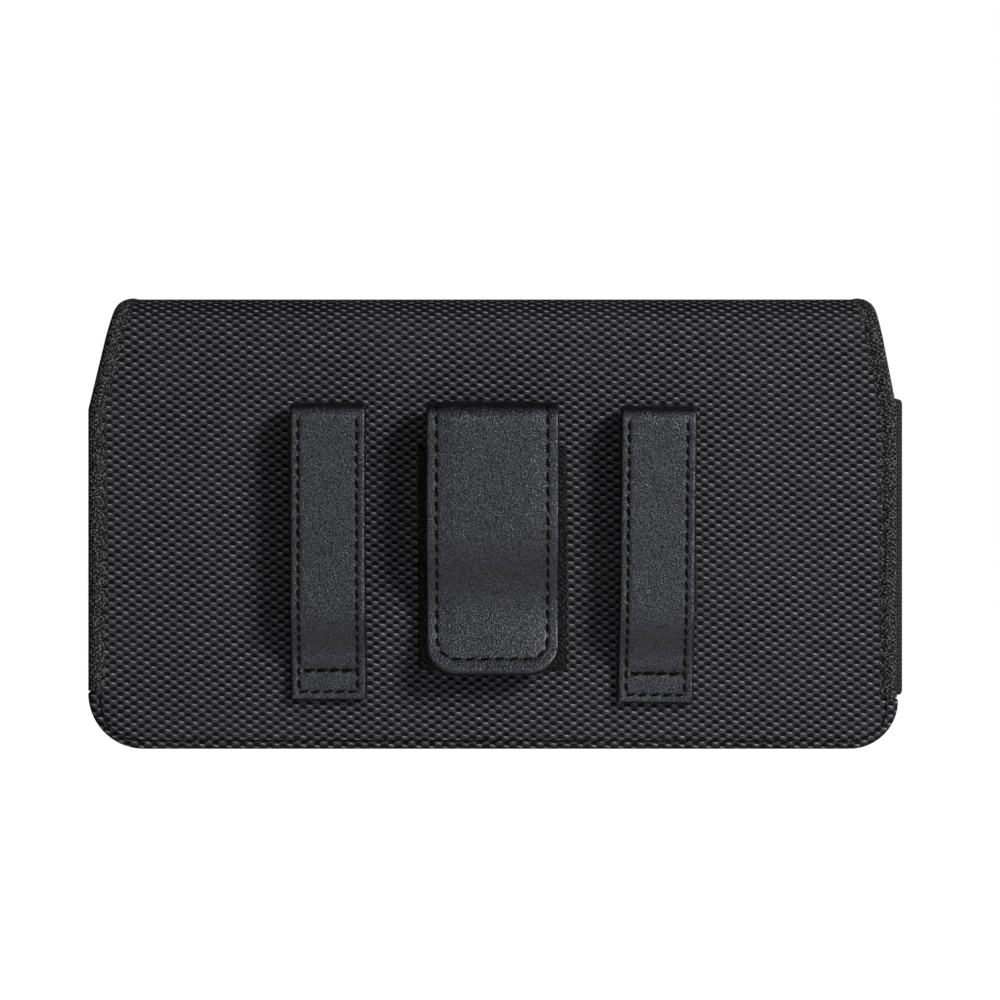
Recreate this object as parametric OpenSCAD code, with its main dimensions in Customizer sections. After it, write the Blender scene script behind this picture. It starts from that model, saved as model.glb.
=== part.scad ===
// Phone belt holster, worn sideways on a belt, seen from its belt side.
// X runs along the belt, Y from the belt side to the front flap, Z up.
// The origin is on the outer face of the back, at the middle of the belt passage.

/* [Back] */
// Width of the back between its two side edges
back_w = 173; // [160:0.1:190]
// Depth of the back below the middle of the belt passage
back_drop = 45; // [42:0.1:50]
// Height of the top of the fold above the middle of the belt passage
top_rise = 52.1; // [48:0.1:56]
// Width of the cover where it rolls over the top
top_w = 162.5; // [150:0.1:170]
// How far the rolled top was sewn over to the right
top_shift = 0.55; // [0:0.05:1]
// Height at which the side edges start to lean in
taper_z = 28; // [22:0.5:34]
// Radius of the lower corner on the left, seen from the belt side
left_corner_r = 12; // [9:0.5:16]
// Radius of the lower corner on the right, seen from the belt side
right_corner_r = 10.5; // [9:0.5:16]

/* [Layers] */
// Thickness of the woven cover
cover_t = 0.8; // [0.5:0.05:1]
// Thickness of the stiffener in the back
board_t = 1.2; // [0.8:0.1:1.6]
// Thickness of the stiffener in the front and in the flap
front_board_t = 1; // [0.8:0.1:1.2]
// Thickness of the lining
lining_t = 0.6; // [0.4:0.05:0.8]
// Thickness of the binding tape
tape_t = 0.5; // [0.3:0.05:0.6]
// Width of the binding tape on each face
tape_w = 2.8; // [2:0.1:3]

/* [Pouch] */
// Depth of the phone pocket between the back and front linings
pocket_depth = 14.2; // [11:0.1:18]
// Height of the pouch mouth above the middle of the belt passage
mouth_z = 30.7; // [29:0.1:32]
// Width of the sewn seam round the front
seam_w = 3; // [2.9:0.1:3.5]
// How far the front's wall leans in between the seam and the front face
wall_run = 5; // [4:0.1:6]
// How square the front's wall is in section: 2 is an ellipse
wall_squareness = 2.6; // [2:0.1:4]
// Clear space between the pouch front and the closed flap
flap_gap = 0.8; // [0.8:0.1:1.5]

/* [Side gussets] */
// Thickness of the elastic side gussets
gusset_t = 1; // [0.8:0.1:1.2]
// Depth at which the elastic stops and the moulded front wraps round
gusset_front_y = 13; // [11:0.5:14]
// How far the right gusset bulges outwards
right_bulge = 6; // [2:0.1:6.5]
// How far the left gusset is tucked in
left_tuck = 1.2; // [0:0.1:2]

/* [Flap] */
// Height of the flap's lower edge above the middle of the belt passage
flap_hem_z = 2; // [-4:0.5:10]
// Radius of the flap's lower corners
flap_corner_r = 10; // [8:0.5:14]
// Radius of the fold's two corners
fold_r = 9; // [8:0.5:10]
// Distance of each magnet from the middle
magnet_x = 45; // [25:1:60]
// Height of the magnets
magnet_z = 13; // [12:0.5:20]
// Radius of a flap magnet
magnet_r = 6.5; // [4:0.1:7]
// Radius of a catch plate in the front
catch_r = 8; // [6:0.1:9]

/* [Belt loops] */
// Width of a loop's strap
loop_w = 16.3; // [14:0.1:20]
// Thickness of a loop's strap
strap_t = 2; // [1.6:0.1:2]
// Thickness of the pared tail behind a loop's fold
tail_t = 1; // [0.8:0.1:1.2]
// Length of a loop from its fold to its lower end
loop_len = 63.8; // [60:0.1:66]
// Height of the left loop's fold
loop_top_z = 29.5; // [28:0.1:31]
// How far a loop stands off the back
loop_stand = 7.6; // [7:0.1:9]
// Middle of the left loop, measured from the middle of the holster
left_loop_x = -35.2; // [-40:0.1:-30]
// Middle of the right loop, measured from the middle of the holster
right_loop_x = 35.3; // [30:0.1:40]
// How much lower the right loop was sewn
right_loop_drop = 0.7; // [0:0.1:1]
// How far the right loop was sewn out of true, in degrees
right_loop_tilt = 0.6; // [0:0.1:1]

/* [Clip] */
// Width of the leather-covered clip
clip_w = 28.4; // [26:0.1:31]
// Height of the clip's fold
clip_top_z = 29.6; // [29:0.1:31]
// Height of the clip's lower end
clip_tip_z = -28; // [-31:0.1:-26]
// How far the clip stands off the back
clip_stand = 10.2; // [10:0.1:12]
// Height at which the clip comes nearest to the back
dip_z = -14.6; // [-16:0.1:-13]
// Clear space between the clip and its pad at the dip
dip_gap = 0.5; // [0.3:0.1:1.5]
// How far the clip's lip flares out again below the dip
lip_flare = 4.2; // [2:0.1:5]
// Radius of the lip's corners
lip_corner_r = 6.5; // [4:0.1:9]
// Width of the steel in the clip
spring_w = 22; // [16:0.5:23]
// Thickness of the steel in the clip
spring_t = 1; // [0.8:0.1:1.2]
// Thickness of each leather face of the clip
leather_t = 0.8; // [0.6:0.05:0.8]
// Width of the leather pad behind the clip
pad_w = 32; // [31:0.1:34]
// Height of the pad's top edge
pad_top_z = 20; // [16:0.5:22]
// Height of the pad's lower edge
pad_bottom_z = -28; // [-30:0.5:-26]
// Radius of the pad's lower corners
pad_corner_r = 1; // [0.5:0.5:6]
// Height of the upper rivet
upper_rivet_z = 15; // [13:0.5:17]
// Height of the lower rivet
lower_rivet_z = 4; // [3:0.5:6]
// Radius of a rivet's shank
rivet_r = 1.6; // [1.2:0.1:2]
// Radius of a rivet's head
rivet_head_r = 3.6; // [3:0.1:4]
// Thickness of a rivet's head
rivet_head_t = 0.7; // [0.5:0.1:0.8]

/* [Hidden] */

nylon = "#2c2e33";
tape = "#26282c";
lining_cloth = "#1d1e21";
elastic = "#202124";
leather = "#1f1d1d";
board_grey = "#8a8578";
steel = "#a4a7ab";

// Steps in a quarter of a drawn arc, and in a clip's or loop's curve
corner_steps = 10;
curve_steps = 16;
// Slack by which a cutter passes a face
over = 1;

// Half widths and heights of the outline
back_half = back_w / 2;
bottom_z = -back_drop;
crease_z = top_rise - fold_r;

// Faces of the layers, from the belt side to the front
back_board_y = cover_t;
back_lining_y = back_board_y + board_t;
seam_y = back_lining_y + lining_t;
front_lining_y = seam_y + pocket_depth;
front_board_y = front_lining_y + lining_t;
front_cover_y = front_board_y + front_board_t;
front_y = front_cover_y + cover_t;
flap_lining_y = front_y + flap_gap;
flap_board_y = flap_lining_y + lining_t;
flap_cover_y = flap_board_y + front_board_t;
flap_y = flap_cover_y + cover_t;

// Boards stop short of the stitches that hold the layers together
board_inset = tape_w + 0.4;
// The moulded front's wall starts here, and its flat face starts at face_inset
face_inset = seam_w + wall_run;
wall_y = seam_y + cover_t;
wall_h = front_y - wall_y;
// Heights at which each side's gusset and edge binding start, just above the corner
left_gusset_z = bottom_z + left_corner_r + 0.6;
right_gusset_z = bottom_z + right_corner_r + 0.6;
// The binding wraps the back's layers and the foot of a gusset
wrap_y = seam_y + gusset_t;
gusset_foot_w = 4.3;
// How late a gusset leaves its foot, so that it clears the binding beside it
bow_power = 2.6;
// The mouth binding stops clear of the flap's own binding
mouth_binding_half = top_w / 2 - top_shift - tape_w - 1.4;
mouth_binding_w = 4;

// Clip section: the tongue's outer surface bends round this centre
bend_r = clip_stand / 2;
bend_z = clip_top_z - bend_r;
tongue_t = 2 * leather_t + spring_t;
dip_stand = leather_t + dip_gap + tongue_t;
straight_z = dip_z + 16.6;
leg_end_z = -1.5;
back_leather_end_z = -4;
spring_tip_z = clip_tip_z + 3;
steel_corner_r = 4;

// Loop section: the strap's outer surface bends round this centre
loop_r = loop_stand / 2;
loop_bend_z = loop_top_z - loop_r;
loop_end_z = loop_top_z - loop_len;
loop_straight_z = loop_end_z + 20;
loop_flat_z = loop_end_z + 7;
tail_end_z = loop_bend_z - 9;

// Distance of the cover's side edge from the middle: at the rolled top, and at the height z
function top_edge(side) = top_w / 2 + side * top_shift;
function edge_at(side, z) =
    back_half - max(0, z - taper_z) * (back_half - top_edge(side)) / (top_rise - taper_z);

function arc(centre, r, from, to, steps) =
    [for (i = [0:steps]) let (a = from + (to - from) * i / steps) centre + r * [cos(a), sin(a)]];

// Outline of the back in X and Z, drawn in by d, up to the height top
function back_outline(d, top) = concat(
    arc([left_corner_r - back_half, bottom_z + left_corner_r], left_corner_r - d, 180, 270, corner_steps),
    arc([back_half - right_corner_r, bottom_z + right_corner_r], right_corner_r - d, 270, 360, corner_steps),
    [[back_half - d, taper_z], [edge_at(1, top) - d, top]],
    [[d - edge_at(-1, top), top], [d - back_half, taper_z]]);

// Outline of the flap in X and Z, drawn in by d, up to the height top
function flap_outline(d, top) = concat(
    arc([flap_corner_r - top_edge(-1), flap_hem_z + flap_corner_r], flap_corner_r - d,
        180, 270, corner_steps),
    arc([top_edge(1) - flap_corner_r, flap_hem_z + flap_corner_r], flap_corner_r - d,
        270, 360, corner_steps),
    [[top_edge(1) - d, top], [d - top_edge(-1), top]]);

// Section of the fold in Y and Z: the band between two depths under its outer face
function fold_curve(d) = concat(
    arc([flap_y - fold_r, crease_z], fold_r - d, 0, 90, corner_steps),
    arc([fold_r, crease_z], fold_r - d, 90, 180, corner_steps));

function reversed(points) = [for (i = [len(points) - 1:-1:0]) points[i]];

// Section of the moulded front across its edge: X is the distance in from the edge
function wall_curve(in, down) = [for (i = [0:curve_steps])
    let (a = 90 * i / curve_steps)
    [face_inset - (wall_run - in) * pow(cos(a), 2 / wall_squareness),
     wall_y + (wall_h - down) * pow(sin(a), 2 / wall_squareness)]];

// How far the clip's outer surface stands off the back at the height z
function clip_stand_at(z) =
    z > straight_z ? clip_stand
    : z > dip_z ? dip_stand
        + (clip_stand - dip_stand) * (1 + cos(180 * (straight_z - z) / (straight_z - dip_z))) / 2
    : dip_stand + lip_flare * (1 - cos(75 * (dip_z - z) / (dip_z - clip_tip_z))) / (1 - cos(75));

// How far a loop's outer surface stands off the back at the height z
function loop_stand_at(z) =
    z > loop_straight_z ? loop_stand
    : z > loop_flat_z ? strap_t
        + (loop_stand - strap_t) * (1 + cos(180 * (loop_straight_z - z) / (loop_straight_z - loop_flat_z))) / 2
    : strap_t;

// A point under the clip's outer surface at the height z, and one under a loop's
function under(stand, slope, z, depth) =
    let (n = sqrt(1 + slope * slope))
    [-stand + depth / n, z + depth * slope / n];
function clip_point(z, depth) =
    under(clip_stand_at(z), (clip_stand_at(z + 0.01) - clip_stand_at(z - 0.01)) / 0.02, z, depth);
function loop_point(z, depth) =
    under(loop_stand_at(z), (loop_stand_at(z + 0.01) - loop_stand_at(z - 0.01)) / 0.02, z, depth);

// The tongue's path from the crown of the bend to the height end
function tongue_path(depth, end) = concat(
    arc([-bend_r, bend_z], bend_r - depth, 90, 180, corner_steps),
    [for (i = [0:curve_steps]) clip_point(straight_z + (dip_z - straight_z) * i / curve_steps, depth)],
    [for (i = [1:curve_steps]) clip_point(dip_z + (end - dip_z) * i / curve_steps, depth)]);

// The clip's fixed side, from the crown of the bend down the back to the height end
function leg_path(depth, end) = concat(
    arc([-bend_r, bend_z], bend_r - depth, 90, 0, corner_steps), [[-depth, end]]);

function band(outer, inner) = concat(outer, reversed(inner));

// A flat piece with an outline in X and Z, between two depths
module panel(outline, from_y, to_y) {
    translate([0, to_y, 0]) rotate([90, 0, 0])
        linear_extrude(height = to_y - from_y) polygon(outline);
}

// A strip with a section in Y and Z, centred on X
module strip(section, width) {
    rotate([90, 0, 90])
        linear_extrude(height = width, center = true) polygon(section);
}

// A box between two corners
module block(low, high) {
    translate(low) cube(high - low);
}

// A plate in X and Z with round lower corners, deep enough to trim a strip
module trimmer(width, low, high, r) {
    outline = concat(
        arc([r - width / 2, low + r], r, 180, 270, corner_steps),
        arc([width / 2 - r, low + r], r, 270, 360, corner_steps),
        [[width / 2, high], [-width / 2, high]]);
    panel(outline, -clip_stand - lip_flare, over);
}

// A round plate or pin along Y
module disc(x, z, r, from_y, to_y) {
    translate([x, to_y, z]) rotate([90, 0, 0])
        cylinder(r = r, h = to_y - from_y, $fn = 64);
}

module back_cover() {
    color(nylon) difference() {
        panel(back_outline(0, crease_z), 0, cover_t);
        rivet_shanks();
    }
}

module back_board_shape() {
    panel(back_outline(board_inset, crease_z - board_inset), back_board_y, back_lining_y);
}

module back_board() {
    color(board_grey) difference() {
        back_board_shape();
        rivet_shanks();
        rivet_clinches();
    }
}

module back_lining() {
    color(lining_cloth) difference() {
        panel(back_outline(0, crease_z), back_board_y, seam_y);
        back_board_shape();
    }
}

module edge_binding(side, from_z) {
    color(tape) intersection() {
        difference() {
            panel(back_outline(-tape_t, crease_z), -tape_t, wrap_y + tape_t);
            panel(back_outline(0, crease_z + over), 0, wrap_y);
            panel(back_outline(tape_w, crease_z + over), -over, wrap_y + over);
        }
        translate([side * back_half, 0, (from_z + crease_z) / 2])
            cube([4 * seam_w + 2 * face_inset, 4 * wrap_y, crease_z - from_z], center = true);
    }
}

module left_edge_binding() { edge_binding(-1, left_gusset_z); }

module right_edge_binding() { edge_binding(1, right_gusset_z); }

// Section of the moulded cover, from the edge to the distance end
function cover_section(end) = band(
    concat([[0, seam_y], [0, wall_y]], wall_curve(0, 0), [[end, front_y]]),
    concat([[seam_w + cover_t, seam_y]], wall_curve(cover_t, cover_t), [[end, front_cover_y]]));

// Section of its lining, which leaves room for the board behind the flat face
function lining_section(end) = band(
    concat([[seam_w + cover_t, seam_y]], wall_curve(cover_t, cover_t + front_board_t),
        [[end, front_board_y]]),
    concat([[seam_w + cover_t + lining_t, seam_y]],
        wall_curve(cover_t + lining_t, cover_t + front_board_t + lining_t), [[end, front_lining_y]]));

// A corner of the moulded front: the section swept round the corner's centre
module front_corner(side, r, lining) {
    section = lining ? lining_section(r) : cover_section(r);
    translate([side * (back_half - r), 0, bottom_z + r]) rotate([90, 0, 0])
        rotate_extrude(angle = 90, start = side > 0 ? 270 : 180, $fn = 64)
            polygon([for (p = section) [r - p[0], -p[1]]]);
}

// A side of the moulded front: whole up to the gusset, and above it only the wrapped lip
module front_side(side, r, gusset_z, lining) {
    section = lining ? lining_section(r) : cover_section(r);
    points = [for (p = section) [side * (back_half - p[0]), p[1]]];
    translate([0, 0, bottom_z + r])
        linear_extrude(height = gusset_z - bottom_z - r) polygon(points);
    intersection() {
        translate([0, 0, gusset_z])
            linear_extrude(height = mouth_z - gusset_z) polygon(points);
        translate([side * (back_half - r / 2), gusset_front_y + pocket_depth / 2, 0])
            cube([r + over, pocket_depth, 3 * mouth_z + back_drop], center = true);
    }
}

// The moulded front, or its lining, as one swept tray with a straight mouth
module front_tray(lining) {
    left_x = left_corner_r - back_half;
    right_x = back_half - right_corner_r;
    face_z = bottom_z + max(left_corner_r, right_corner_r);
    strip_section = lining ? lining_section(face_z - bottom_z) : cover_section(face_z - bottom_z);
    face_from = lining ? front_lining_y : front_cover_y;
    face_to = lining ? front_board_y : front_y;
    translate([left_x, 0, 0]) rotate([90, 0, 90])
        linear_extrude(height = right_x - left_x)
            polygon([for (p = strip_section) [p[1], bottom_z + p[0]]]);
    block([left_x, face_from, face_z], [right_x, face_to, mouth_z]);
    front_corner(-1, left_corner_r, lining);
    front_corner(1, right_corner_r, lining);
    front_side(-1, left_corner_r, left_gusset_z, lining);
    front_side(1, right_corner_r, right_gusset_z, lining);
}

module front_cover() {
    color(nylon) front_tray(false);
}

module front_lining() {
    color(lining_cloth) front_tray(true);
}

module front_board() {
    inset = face_inset + 0.5;
    left_r = max(left_corner_r - inset, 1);
    right_r = max(right_corner_r - inset, 1);
    outline = concat(
        arc([inset + left_r - back_half, bottom_z + inset + left_r], left_r, 180, 270, corner_steps),
        arc([back_half - inset - right_r, bottom_z + inset + right_r], right_r, 270, 360, corner_steps),
        [[back_half - inset, mouth_z - tape_w], [inset - back_half, mouth_z - tape_w]]);
    color(board_grey) difference() {
        panel(outline, front_board_y, front_cover_y);
        for (side = [-1, 1])
            disc(side * magnet_x, magnet_z, catch_r, front_board_y - over, front_cover_y + over);
    }
}

module catch_plate(side) {
    color(steel) disc(side * magnet_x, magnet_z, catch_r, front_board_y, front_cover_y);
}

module left_catch_plate() { catch_plate(-1); }

module right_catch_plate() { catch_plate(1); }

// Tape folded over the mouth's straight edge
module mouth_binding() {
    color(tape) difference() {
        block([-mouth_binding_half, front_lining_y - tape_t, mouth_z - mouth_binding_w],
            [mouth_binding_half, front_y + tape_t, mouth_z + tape_t]);
        block([-mouth_binding_half - over, front_lining_y, mouth_z - mouth_binding_w - over],
            [mouth_binding_half + over, front_y, mouth_z]);
    }
}

// An elastic band that bows out or in between its foot on the back and the front's lip
module gusset(side, from_z, bow) {
    foot_x = back_half - gusset_foot_w;
    lip_x = back_half - seam_w - 1.1;
    start_y = seam_y + gusset_t / 2;
    function bow_at(s) = foot_x + (lip_x - foot_x) * s + bow * pow(sin(180 * s), bow_power);
    function offset_point(s, d) =
        let (dx = (bow_at(min(s + 0.001, 1)) - bow_at(max(s - 0.001, 0))) / 0.002,
             dy = gusset_front_y - start_y,
             n = sqrt(dx * dx + dy * dy))
        s == 0 || s == 1
            ? [side * (bow_at(s) + d), start_y + dy * s]
            : [side * (bow_at(s) + d * dy / n), start_y + dy * s - d * dx / n];
    color(elastic) {
        translate([0, 0, from_z]) linear_extrude(height = mouth_z - from_z) polygon(band(
            [for (i = [0:curve_steps]) offset_point(i / curve_steps, gusset_t / 2)],
            [for (i = [0:curve_steps]) offset_point(i / curve_steps, -gusset_t / 2)]));
        intersection() {
            panel(back_outline(0, crease_z), seam_y, wrap_y);
            translate([side * back_half, 0, (from_z + mouth_z) / 2])
                cube([2 * gusset_foot_w + gusset_t, 4 * wrap_y, mouth_z - from_z], center = true);
        }
    }
}

module left_gusset() { gusset(-1, left_gusset_z, -left_tuck); }

module right_gusset() { gusset(1, right_gusset_z, right_bulge); }

// Prisms that cut the fold to the cover's leaning side edges, drawn in by d
module fold_trimmer(d) {
    left = d - top_edge(-1);
    right = top_edge(1) - d;
    mid_y = flap_y / 2;
    panel([[d - edge_at(-1, crease_z), crease_z], [edge_at(1, crease_z) - d, crease_z],
        [right, top_rise], [right, top_rise + over], [left, top_rise + over], [left, top_rise]],
        -over, mid_y);
    block([left, mid_y, crease_z], [right, flap_y + over, top_rise + over]);
}

// The fold's layer between two depths under its outer face, drawn in by d at the sides
module fold_layer(from, to, d) {
    intersection() {
        strip(band(fold_curve(from), fold_curve(to)), 2 * back_w);
        fold_trimmer(d);
    }
}

module spine_cover() {
    color(nylon) fold_layer(0, cover_t, 0);
}

module spine_lining() {
    color(lining_cloth) fold_layer(cover_t, cover_t + lining_t, 0);
}

module spine_binding(side) {
    color(tape) intersection() {
        difference() {
            fold_layer(-tape_t, cover_t + lining_t + tape_t, -tape_t);
            fold_layer(0, cover_t + lining_t, 0);
            fold_trimmer(tape_w);
        }
        translate([side * back_half, 0, top_rise])
            cube([back_half, 4 * flap_y, 4 * fold_r], center = true);
    }
}

module left_spine_binding() { spine_binding(-1); }

module right_spine_binding() { spine_binding(1); }

module flap_cover() {
    color(nylon) panel(flap_outline(0, crease_z), flap_cover_y, flap_y);
}

module flap_board_shape() {
    panel(flap_outline(board_inset, crease_z - board_inset), flap_board_y, flap_cover_y);
}

module flap_board() {
    color(board_grey) difference() {
        flap_board_shape();
        for (side = [-1, 1])
            disc(side * magnet_x, magnet_z, magnet_r, flap_board_y - over, flap_cover_y + over);
    }
}

module flap_lining() {
    color(lining_cloth) difference() {
        panel(flap_outline(0, crease_z), flap_lining_y, flap_cover_y);
        flap_board_shape();
    }
}

module flap_binding() {
    color(tape) difference() {
        panel(flap_outline(-tape_t, crease_z), flap_lining_y - tape_t, flap_y + tape_t);
        panel(flap_outline(0, crease_z + over), flap_lining_y, flap_y);
        panel(flap_outline(tape_w, crease_z + over), flap_lining_y - over, flap_y + over);
    }
}

module flap_magnet(side) {
    color(steel) disc(side * magnet_x, magnet_z, magnet_r, flap_board_y, flap_cover_y);
}

module left_flap_magnet() { flap_magnet(-1); }

module right_flap_magnet() { flap_magnet(1); }

// A strap folded at the top, pared at its tail and flat on the back at its lower end
module belt_loop() {
    heights = [for (i = [0:curve_steps])
        loop_straight_z + (loop_flat_z - loop_straight_z) * i / curve_steps];
    outer = concat([[0, tail_end_z]],
        arc([-loop_r, loop_bend_z], loop_r, 0, 180, 2 * corner_steps),
        [for (z = heights) loop_point(z, 0)], [[-strap_t, loop_end_z]]);
    inner = concat([[-tail_t, tail_end_z]],
        [for (i = [0:2 * corner_steps])
            let (a = 90 * i / corner_steps, t = tail_t + (strap_t - tail_t) * a / 180)
            [-loop_r, loop_bend_z] + (loop_r - t) * [cos(a), sin(a)]],
        [for (z = heights) loop_point(z, strap_t)], [[0, loop_end_z]]);
    color(leather) strip(band(outer, inner), loop_w);
}

module left_belt_loop() {
    translate([left_loop_x, 0, 0]) belt_loop();
}

module right_belt_loop() {
    translate([right_loop_x, 0, -right_loop_drop]) rotate([0, right_loop_tilt, 0]) belt_loop();
}

// Rivets through the clip's fixed leg, its pad, the cover and the back board
module rivet_shanks() {
    for (z = [lower_rivet_z, upper_rivet_z])
        disc(0, z, rivet_r, -tongue_t, back_lining_y - rivet_head_t);
}

module rivet_clinches() {
    for (z = [lower_rivet_z, upper_rivet_z])
        disc(0, z, rivet_head_r, back_lining_y - rivet_head_t, back_lining_y);
}

// The outer heads, pressed flush into the leather
module rivet_heads() {
    for (z = [lower_rivet_z, upper_rivet_z])
        disc(0, z, rivet_head_r, -tongue_t, rivet_head_t - tongue_t);
}

module clip_rivets() {
    color(steel) {
        rivet_shanks();
        rivet_clinches();
        rivet_heads();
    }
}

// The leather on the back: a wide pad, and above it the sleeve that rolls over the bend
module clip_pad() {
    color(leather) difference() {
        union() {
            intersection() {
                block([-pad_w / 2, -leather_t, pad_bottom_z], [pad_w / 2, 0, pad_top_z]);
                trimmer(pad_w, pad_bottom_z, pad_top_z, pad_corner_r);
            }
            strip(band(leg_path(0, pad_top_z - leather_t), leg_path(leather_t, pad_top_z - leather_t)), clip_w);
        }
        rivet_shanks();
    }
}

module clip_back_leg() {
    color(steel) difference() {
        intersection() {
            strip(band(leg_path(leather_t, leg_end_z), leg_path(leather_t + spring_t, leg_end_z)), spring_w);
            trimmer(spring_w, leg_end_z, clip_top_z, steel_corner_r);
        }
        rivet_shanks();
    }
}

module clip_back_leather() {
    color(leather) difference() {
        intersection() {
            strip(band(leg_path(leather_t, back_leather_end_z), leg_path(tongue_t, back_leather_end_z)), clip_w);
            trimmer(clip_w, back_leather_end_z, clip_top_z, steel_corner_r);
        }
        intersection() {
            strip(band(leg_path(leather_t, leg_end_z), leg_path(leather_t + spring_t, leg_end_z)), spring_w);
            trimmer(spring_w, leg_end_z, clip_top_z, steel_corner_r);
        }
        rivet_shanks();
        rivet_heads();
    }
}

// The steel tongue, bent over the crown, pinched in at the dip and flared at the lip
module clip_spring_shape() {
    intersection() {
        strip(band(tongue_path(leather_t, spring_tip_z), tongue_path(leather_t + spring_t, spring_tip_z)),
            spring_w);
        trimmer(spring_w, spring_tip_z, clip_top_z, steel_corner_r);
    }
}

module clip_spring() {
    color(steel) clip_spring_shape();
}

module clip_outer_leather() {
    color(leather) intersection() {
        strip(band(tongue_path(0, clip_tip_z), tongue_path(leather_t, clip_tip_z)), clip_w);
        trimmer(clip_w, clip_tip_z, clip_top_z + over, lip_corner_r);
    }
}

module clip_inner_leather() {
    color(leather) difference() {
        intersection() {
            strip(band(tongue_path(leather_t, clip_tip_z), tongue_path(tongue_t, clip_tip_z)), clip_w);
            trimmer(clip_w, clip_tip_z, clip_top_z + over, lip_corner_r);
        }
        clip_spring_shape();
    }
}

back_cover();
back_board();
back_lining();
left_edge_binding();
right_edge_binding();
front_cover();
front_board();
front_lining();
mouth_binding();
left_gusset();
right_gusset();
left_catch_plate();
right_catch_plate();
spine_cover();
spine_lining();
left_spine_binding();
right_spine_binding();
flap_cover();
flap_board();
flap_lining();
flap_binding();
left_flap_magnet();
right_flap_magnet();
left_belt_loop();
right_belt_loop();
clip_pad();
clip_back_leg();
clip_back_leather();
clip_rivets();
clip_spring();
clip_outer_leather();
clip_inner_leather();
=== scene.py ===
"""Dresses the phone belt holster: woven skins, tape, leather, elastic, stitches, studio and camera.

Lengths in the classes are in millimetres, as in the part's source, and become metres when a mesh is made.
Cloth and leather are cut flat and folded: a flat place has X across and S along, and a Fold carries it
into space along a line in two of the three axes.
"""

import logging
import math
from dataclasses import dataclass, field, replace
from enum import Enum, IntEnum
from functools import reduce
from typing import Iterable, Sequence

import bmesh
import bpy
import numpy as np
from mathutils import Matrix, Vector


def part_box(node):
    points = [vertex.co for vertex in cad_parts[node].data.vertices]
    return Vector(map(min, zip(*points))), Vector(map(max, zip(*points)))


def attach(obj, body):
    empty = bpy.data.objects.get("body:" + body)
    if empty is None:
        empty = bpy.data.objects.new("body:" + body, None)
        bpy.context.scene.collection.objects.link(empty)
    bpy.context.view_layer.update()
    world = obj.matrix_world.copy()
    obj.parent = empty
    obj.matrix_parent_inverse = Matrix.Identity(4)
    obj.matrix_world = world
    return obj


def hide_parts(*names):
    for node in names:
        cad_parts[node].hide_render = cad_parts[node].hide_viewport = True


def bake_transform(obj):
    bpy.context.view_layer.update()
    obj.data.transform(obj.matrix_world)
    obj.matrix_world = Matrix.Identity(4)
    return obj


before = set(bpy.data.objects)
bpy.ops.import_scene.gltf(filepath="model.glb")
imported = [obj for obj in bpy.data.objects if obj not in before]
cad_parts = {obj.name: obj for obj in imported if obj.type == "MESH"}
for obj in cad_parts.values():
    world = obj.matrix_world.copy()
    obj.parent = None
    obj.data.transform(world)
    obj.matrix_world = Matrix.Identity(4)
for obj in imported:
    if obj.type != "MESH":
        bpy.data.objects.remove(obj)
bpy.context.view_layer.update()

LOG = logging.getLogger("holster")
MM = 0.001
TINY = 1e-12
MERGE_DISTANCE = 1e-7
LEAST_FACE = 1e-8
SHARP_DEGREES = 50
CORNER_STEPS = 8

Array = np.ndarray
Thing = bpy.types.Object
Socket = bpy.types.NodeSocket
Value = float | Socket
Rgb = tuple[float, float, float]
Place = tuple[float, float, float]
Pair = tuple[float, float]
Steps = tuple[float, float, float]


class Body(Enum):
    """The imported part's bodies."""

    POUCH = "pouch"
    SPINE = "spine"
    FLAP = "flap"
    CLIP = "clip"


class Slot(Enum):
    """The record's material slots. Each new piece is passed one, which is not used."""

    COVER = "woven_cover"
    LINING = "lining"
    TAPE = "binding_tape"
    ELASTIC = "elastic"
    LEATHER = "leather"


class Across(Enum):
    """The axis that a folded piece's width lies along."""

    X = "x"
    Z = "z"


class Side(IntEnum):
    """The holster's two sides, each as the sign of its X."""

    LEFT = -1
    RIGHT = 1

    @property
    def word(self) -> str:
        """The side's word in the names of pieces."""
        return self.name.lower()


# Curves and spacing


def smoothstep(low: float, high: float, value: Array) -> Array:
    """Rises smoothly from 0 where value is low to 1 where it is high."""
    share = np.clip((value - low) / (high - low), 0, 1)
    return share * share * (3 - 2 * share)


def graded(length: float, fine: float, coarse: float, margin: float) -> Array:
    """Spaces positions along a length, close together near both ends and wide between.

    The step is a function of place, and positions lie where the integral of 1 / step is a whole number.

    Args:
        length: total length.
        fine: step near the ends.
        coarse: step in the middle.
        margin: how far from an end the steps stay fine.

    Returns:
        Positions from 0 to length.
    """
    place = np.linspace(0, length, 4000)
    step = fine + (coarse - fine) * smoothstep(margin, 2.5 * margin, np.minimum(place, length - place))
    count = np.concatenate([[0], np.cumsum(np.diff(place) / step[1:])])
    return np.interp(np.linspace(0, count[-1], max(int(round(count[-1])), 2) + 1), count, place)


def arc(centre: Sequence[float], radius: float, start: float, stop: float, steps: int) -> Array:
    """Points on a circle from one angle in degrees to another: centre + radius (cos a, sin a)."""
    angle = np.radians(np.linspace(start, stop, steps + 1))
    return np.array(centre) + radius * np.stack([np.cos(angle), np.sin(angle)], axis=-1)


def lengths_along(points: Array) -> Array:
    """Distance of each point from the first, measured along the line through them."""
    return np.concatenate([[0], np.cumsum(np.linalg.norm(np.diff(points, axis=0), axis=1))])


def at_length(line: Array, wanted: Array, values: Array | None = None) -> Array:
    """Reads a line at distances along it, straight from one of its points to the next.

    Args:
        line: the line's points.
        wanted: distances along the line.
        values: what each point has, or None for its place.

    Returns:
        What is read there, with a last axis for its columns.
    """
    along = lengths_along(line)
    columns = (line if values is None else values).T
    return np.stack([np.interp(wanted, along, column) for column in columns], axis=-1)


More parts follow.
